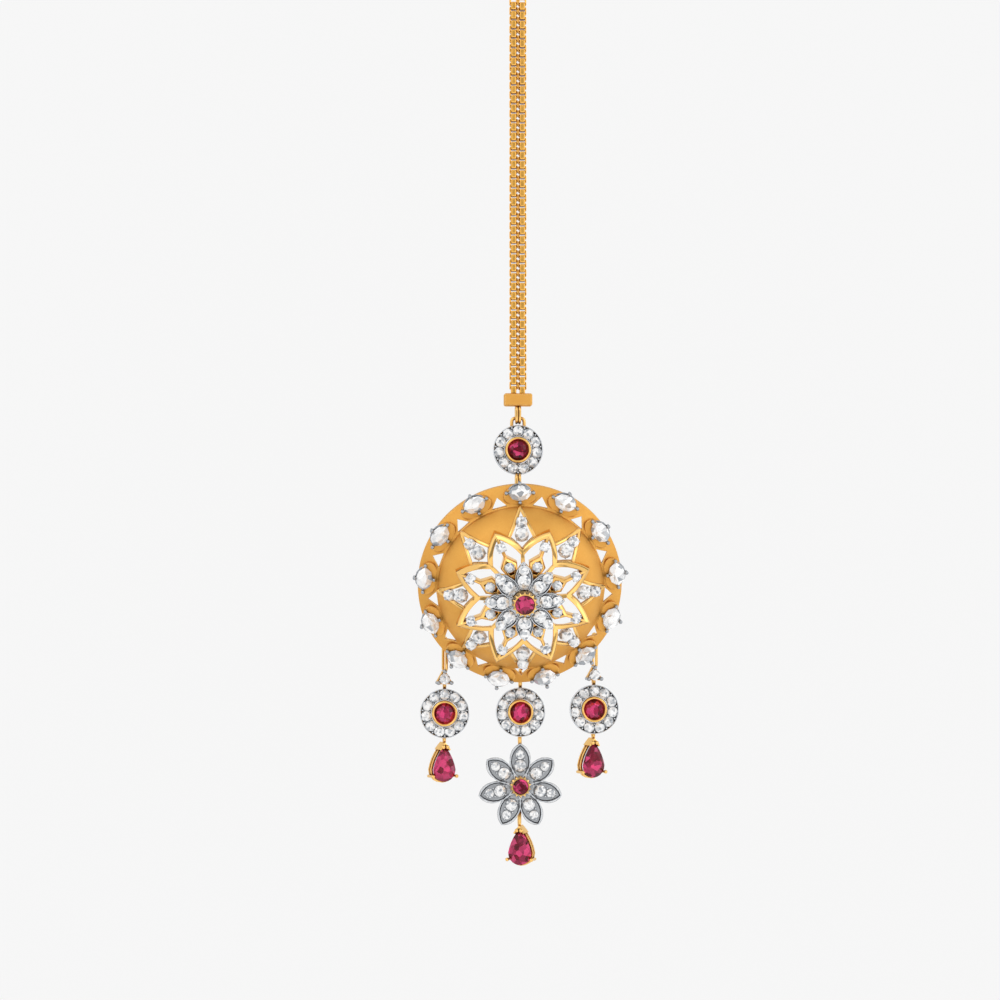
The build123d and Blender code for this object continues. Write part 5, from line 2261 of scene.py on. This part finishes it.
@dataclass(frozen=True)
class Studio:
    """A white tent with soft light from the upper left, and the camera before it."""

    paper: str = "#F7F7F7"
    wall_level: float = 1.04
    patches: tuple[SoftPatch, ...] = (
        SoftPatch((-0.55, -0.6, 0.6), 0.95, 0.99, 1.0),
        SoftPatch((-0.9, -0.45, -0.1), 0.5, 0.9, 0.2),
        SoftPatch((0.9, -0.45, -0.1), 0.4, 0.85, 0.4),
        SoftPatch((0.75, -0.5, 0.4), 0.95, 0.985, 0.7),
        SoftPatch((0.1, -0.6, -0.8), 0.7, 0.95, 0.15),
        SoftPatch((0.0, -1.0, 0.1), 0.94, 0.98, -0.55),
        SoftPatch((-0.75, -0.45, -0.45), 0.93, 0.975, -0.9),
        SoftPatch((0.8, -0.5, -0.35), 0.93, 0.975, -0.9),
        SoftPatch((0.35, -0.3, 0.9), 0.95, 0.985, -0.7),
        SoftPatch((0.0, 1.0, 0.0), 0.85, 0.97, -0.6),
    )
    sun_way: Place = (-0.42, -0.72, 0.55)
    sun_strength: float = 0.1
    sun_angle: float = 34.0
    backdrop_y: float = 90.0
    backdrop_half: float = 400.0
    shadow_share: float = 0.12
    paper_shade: str = "#E4E4E4"
    # The paper's tooth, in bumps a metre.
    tooth_scale: float = 900.0
    tooth_strength: float = 0.02
    tooth_mm: float = 0.01
    target: Place = (-2.88, 0.0, -96.56)
    distance: float = 400.0
    azimuth: float = -3.2
    elevation: float = -2.3
    lens: float = 90.0
    near_clip: float = 0.01

    def walls(self) -> None:
        """The world: plain paper to the camera, and a soft tent to the metal."""
        world = bpy.data.worlds.new("white_tent")
        bpy.context.scene.world = world
        world.use_nodes = True
        tree = world.node_tree
        tree.nodes.clear()
        way = add_node(tree, "ShaderNodeTexCoord").outputs["Generated"]
        total: Socket | float = self.wall_level
        for patch in self.patches:
            pair = {0: way, 1: Vector(patch.way).normalized()}
            dot = add_node(tree, "ShaderNodeVectorMath", pair, operation="DOT_PRODUCT")
            near = {"Value": dot.outputs["Value"], FROM_LOW: patch.edge, FROM_HIGH: patch.full}
            ramp = {**near, TO_LOW: 0.0, TO_HIGH: patch.amount}
            share = add_node(tree, "ShaderNodeMapRange", ramp, interpolation_type="SMOOTHSTEP")
            both = {0: total, 1: share.outputs[0]}
            total = add_node(tree, "ShaderNodeMath", both, operation="ADD").outputs[0]
        tones = []
        for colour, strength in (("#FFFFFF", total), (self.paper, 1.0)):
            values = {"Color": linear(colour), "Strength": strength}
            tones.append(add_node(tree, "ShaderNodeBackground", values).outputs[0])
        rays = add_node(tree, "ShaderNodeLightPath").outputs
        pair = {0: rays["Is Camera Ray"], 1: rays["Is Transmission Ray"]}
        seen = add_node(tree, "ShaderNodeMath", pair, operation="ADD", use_clamp=True).outputs[0]
        mixed = add_node(tree, "ShaderNodeMixShader", {0: seen, 1: tones[0], 2: tones[1]})
        add_node(tree, "ShaderNodeOutputWorld", {"Surface": mixed.outputs[0]})

    def lamp(self) -> None:
        """The soft light from the upper left."""
        light = bpy.data.lights.new("window_light", "SUN")
        light.energy = self.sun_strength
        light.angle = math.radians(self.sun_angle)
        lamp = bpy.data.objects.new("window_light", light)
        lamp.rotation_euler = Vector(self.sun_way).to_track_quat("Z", "Y").to_euler()
        bpy.context.scene.collection.objects.link(lamp)

    def paper_material(self) -> bpy.types.Material:
        """Matt paper that is seen from its front, by the camera and in metal and stones.

        Returns:
            The material.
        """
        made = bpy.data.materials.new("matt_backing_paper")
        made.use_nodes = True
        tree = made.node_tree
        tree.nodes.clear()
        place = add_node(tree, "ShaderNodeTexCoord").outputs["Object"]
        tooth = add_node(tree, "ShaderNodeTexNoise", {"Vector": place, "Scale": self.tooth_scale})
        relief = {"Height": tooth.outputs["Fac"], "Strength": self.tooth_strength}
        bump = add_node(tree, "ShaderNodeBump", {**relief, "Distance": self.tooth_mm * MM})
        values = {"Color": linear(self.paper_shade), "Normal": bump.outputs[0]}
        paper = add_node(tree, "ShaderNodeBsdfDiffuse", values).outputs[0]
        values = {"Color": linear(self.paper), "Strength": 1.0}
        glow = add_node(tree, "ShaderNodeEmission", values).outputs[0]
        lit = add_node(tree, "ShaderNodeMixShader", {0: self.shadow_share, 1: glow, 2: paper})
        clear = add_node(tree, "ShaderNodeBsdfTransparent").outputs[0]
        rays = add_node(tree, "ShaderNodeLightPath").outputs
        hidden = add_node(tree, "ShaderNodeNewGeometry").outputs["Backfacing"]
        seen: Socket = rays["Is Camera Ray"]
        for other, kind in (
            (rays["Is Glossy Ray"], "ADD"),
            (rays["Is Transmission Ray"], "ADD"),
            (hidden, "SUBTRACT"),
        ):
            pair = {0: seen, 1: other}
            seen = add_node(tree, "ShaderNodeMath", pair, operation=kind, use_clamp=True).outputs[0]
        mixed = add_node(tree, "ShaderNodeMixShader", {0: seen, 1: clear, 2: lit.outputs[0]})
        add_node(tree, "ShaderNodeOutputMaterial", {"Surface": mixed.outputs[0]})
        return made

    def backdrop(self) -> None:
        """The paper behind the jewel, which catches its soft shadow."""
        half, middle = self.backdrop_half, self.target[2]
        corners = ((-half, -half), (half, -half), (half, half), (-half, half))
        mesh = bpy.data.meshes.new("backing_paper")
        points = [Vector((x, self.backdrop_y, middle + z)) * MM for x, z in corners]
        mesh.from_pydata(points, [], [(0, 1, 2, 3)])
        mesh.materials.append(self.paper_material())
        sheet = bpy.data.objects.new("backing_paper", mesh)
        bpy.context.scene.collection.objects.link(sheet)

    def camera(self) -> None:
        """The camera, slightly to the left of the jewel and below its middle."""
        data = bpy.data.cameras.new("view")
        data.lens = self.lens
        data.clip_start = self.near_clip
        turn, lift = math.radians(self.azimuth), math.radians(self.elevation)
        flat, up = polar(1.0, lift)
        away = Vector((math.sin(turn) * flat, -math.cos(turn) * flat, up))
        eye = bpy.data.objects.new("view", data)
        eye.location = (Vector(self.target) + away * self.distance) * MM
        eye.rotation_euler = away.to_track_quat("Z", "Y").to_euler()
        bpy.context.scene.collection.objects.link(eye)
        bpy.context.scene.camera = eye

    def build(self) -> None:
        """Sets up the light, the paper and the camera."""
        bpy.context.scene.view_settings.view_transform = "Standard"
        for step in (self.walls, self.lamp, self.backdrop, self.camera):
            step()


# ---------------------------------------------------------------- the whole
def dress(node: bpy.types.Object, finish: Finishes) -> None:
    """Gives a CAD node its finish.

    Args:
        node: The node's object.
        finish: The finish.
    """
    for holder in node.material_slots:
        holder.material = finish.value.material()
    LOG.info("%s: dressed in %s", node.name, finish.value.name)


def main() -> None:
    """Builds the jewel round its frame and sets up the studio."""
    logging.basicConfig(level=logging.INFO, format="%(name)s %(message)s")
    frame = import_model()
    nodes = frame["nodes"]
    dress(nodes["hair_hook"], Finishes.POLISHED)
    dress(nodes["medallion_plate"], Finishes.SATIN)
    chain = Chain()
    chain.build()
    hanging = Hanging(chain)
    hanging.upper_cluster()
    Medallion(hanging.medallion_face).build()
    StarFlower(
        "floret",
        "floret",
        hanging.medallion_face,
        petals=8,
        start=0.0,
        back=8.1,
        top=9.0,
        tip=6.35,
        base=0.8,
        half_width=1.42,
        stones=((3.4, 1.02), (5.17, 0.82)),
        ruby_radius=1.58,
        ruby_girdle=10.5,
        claws=16,
        disc=2.15,
        rim=0.14,
        groove=0.06,
        lift=0.06,
    ).build()
    hanging.side_drop("left", 0)
    hanging.side_drop("right", 1)
    hanging.centre_drop()
    Studio().build()


if __name__ == "__main__":
    main()
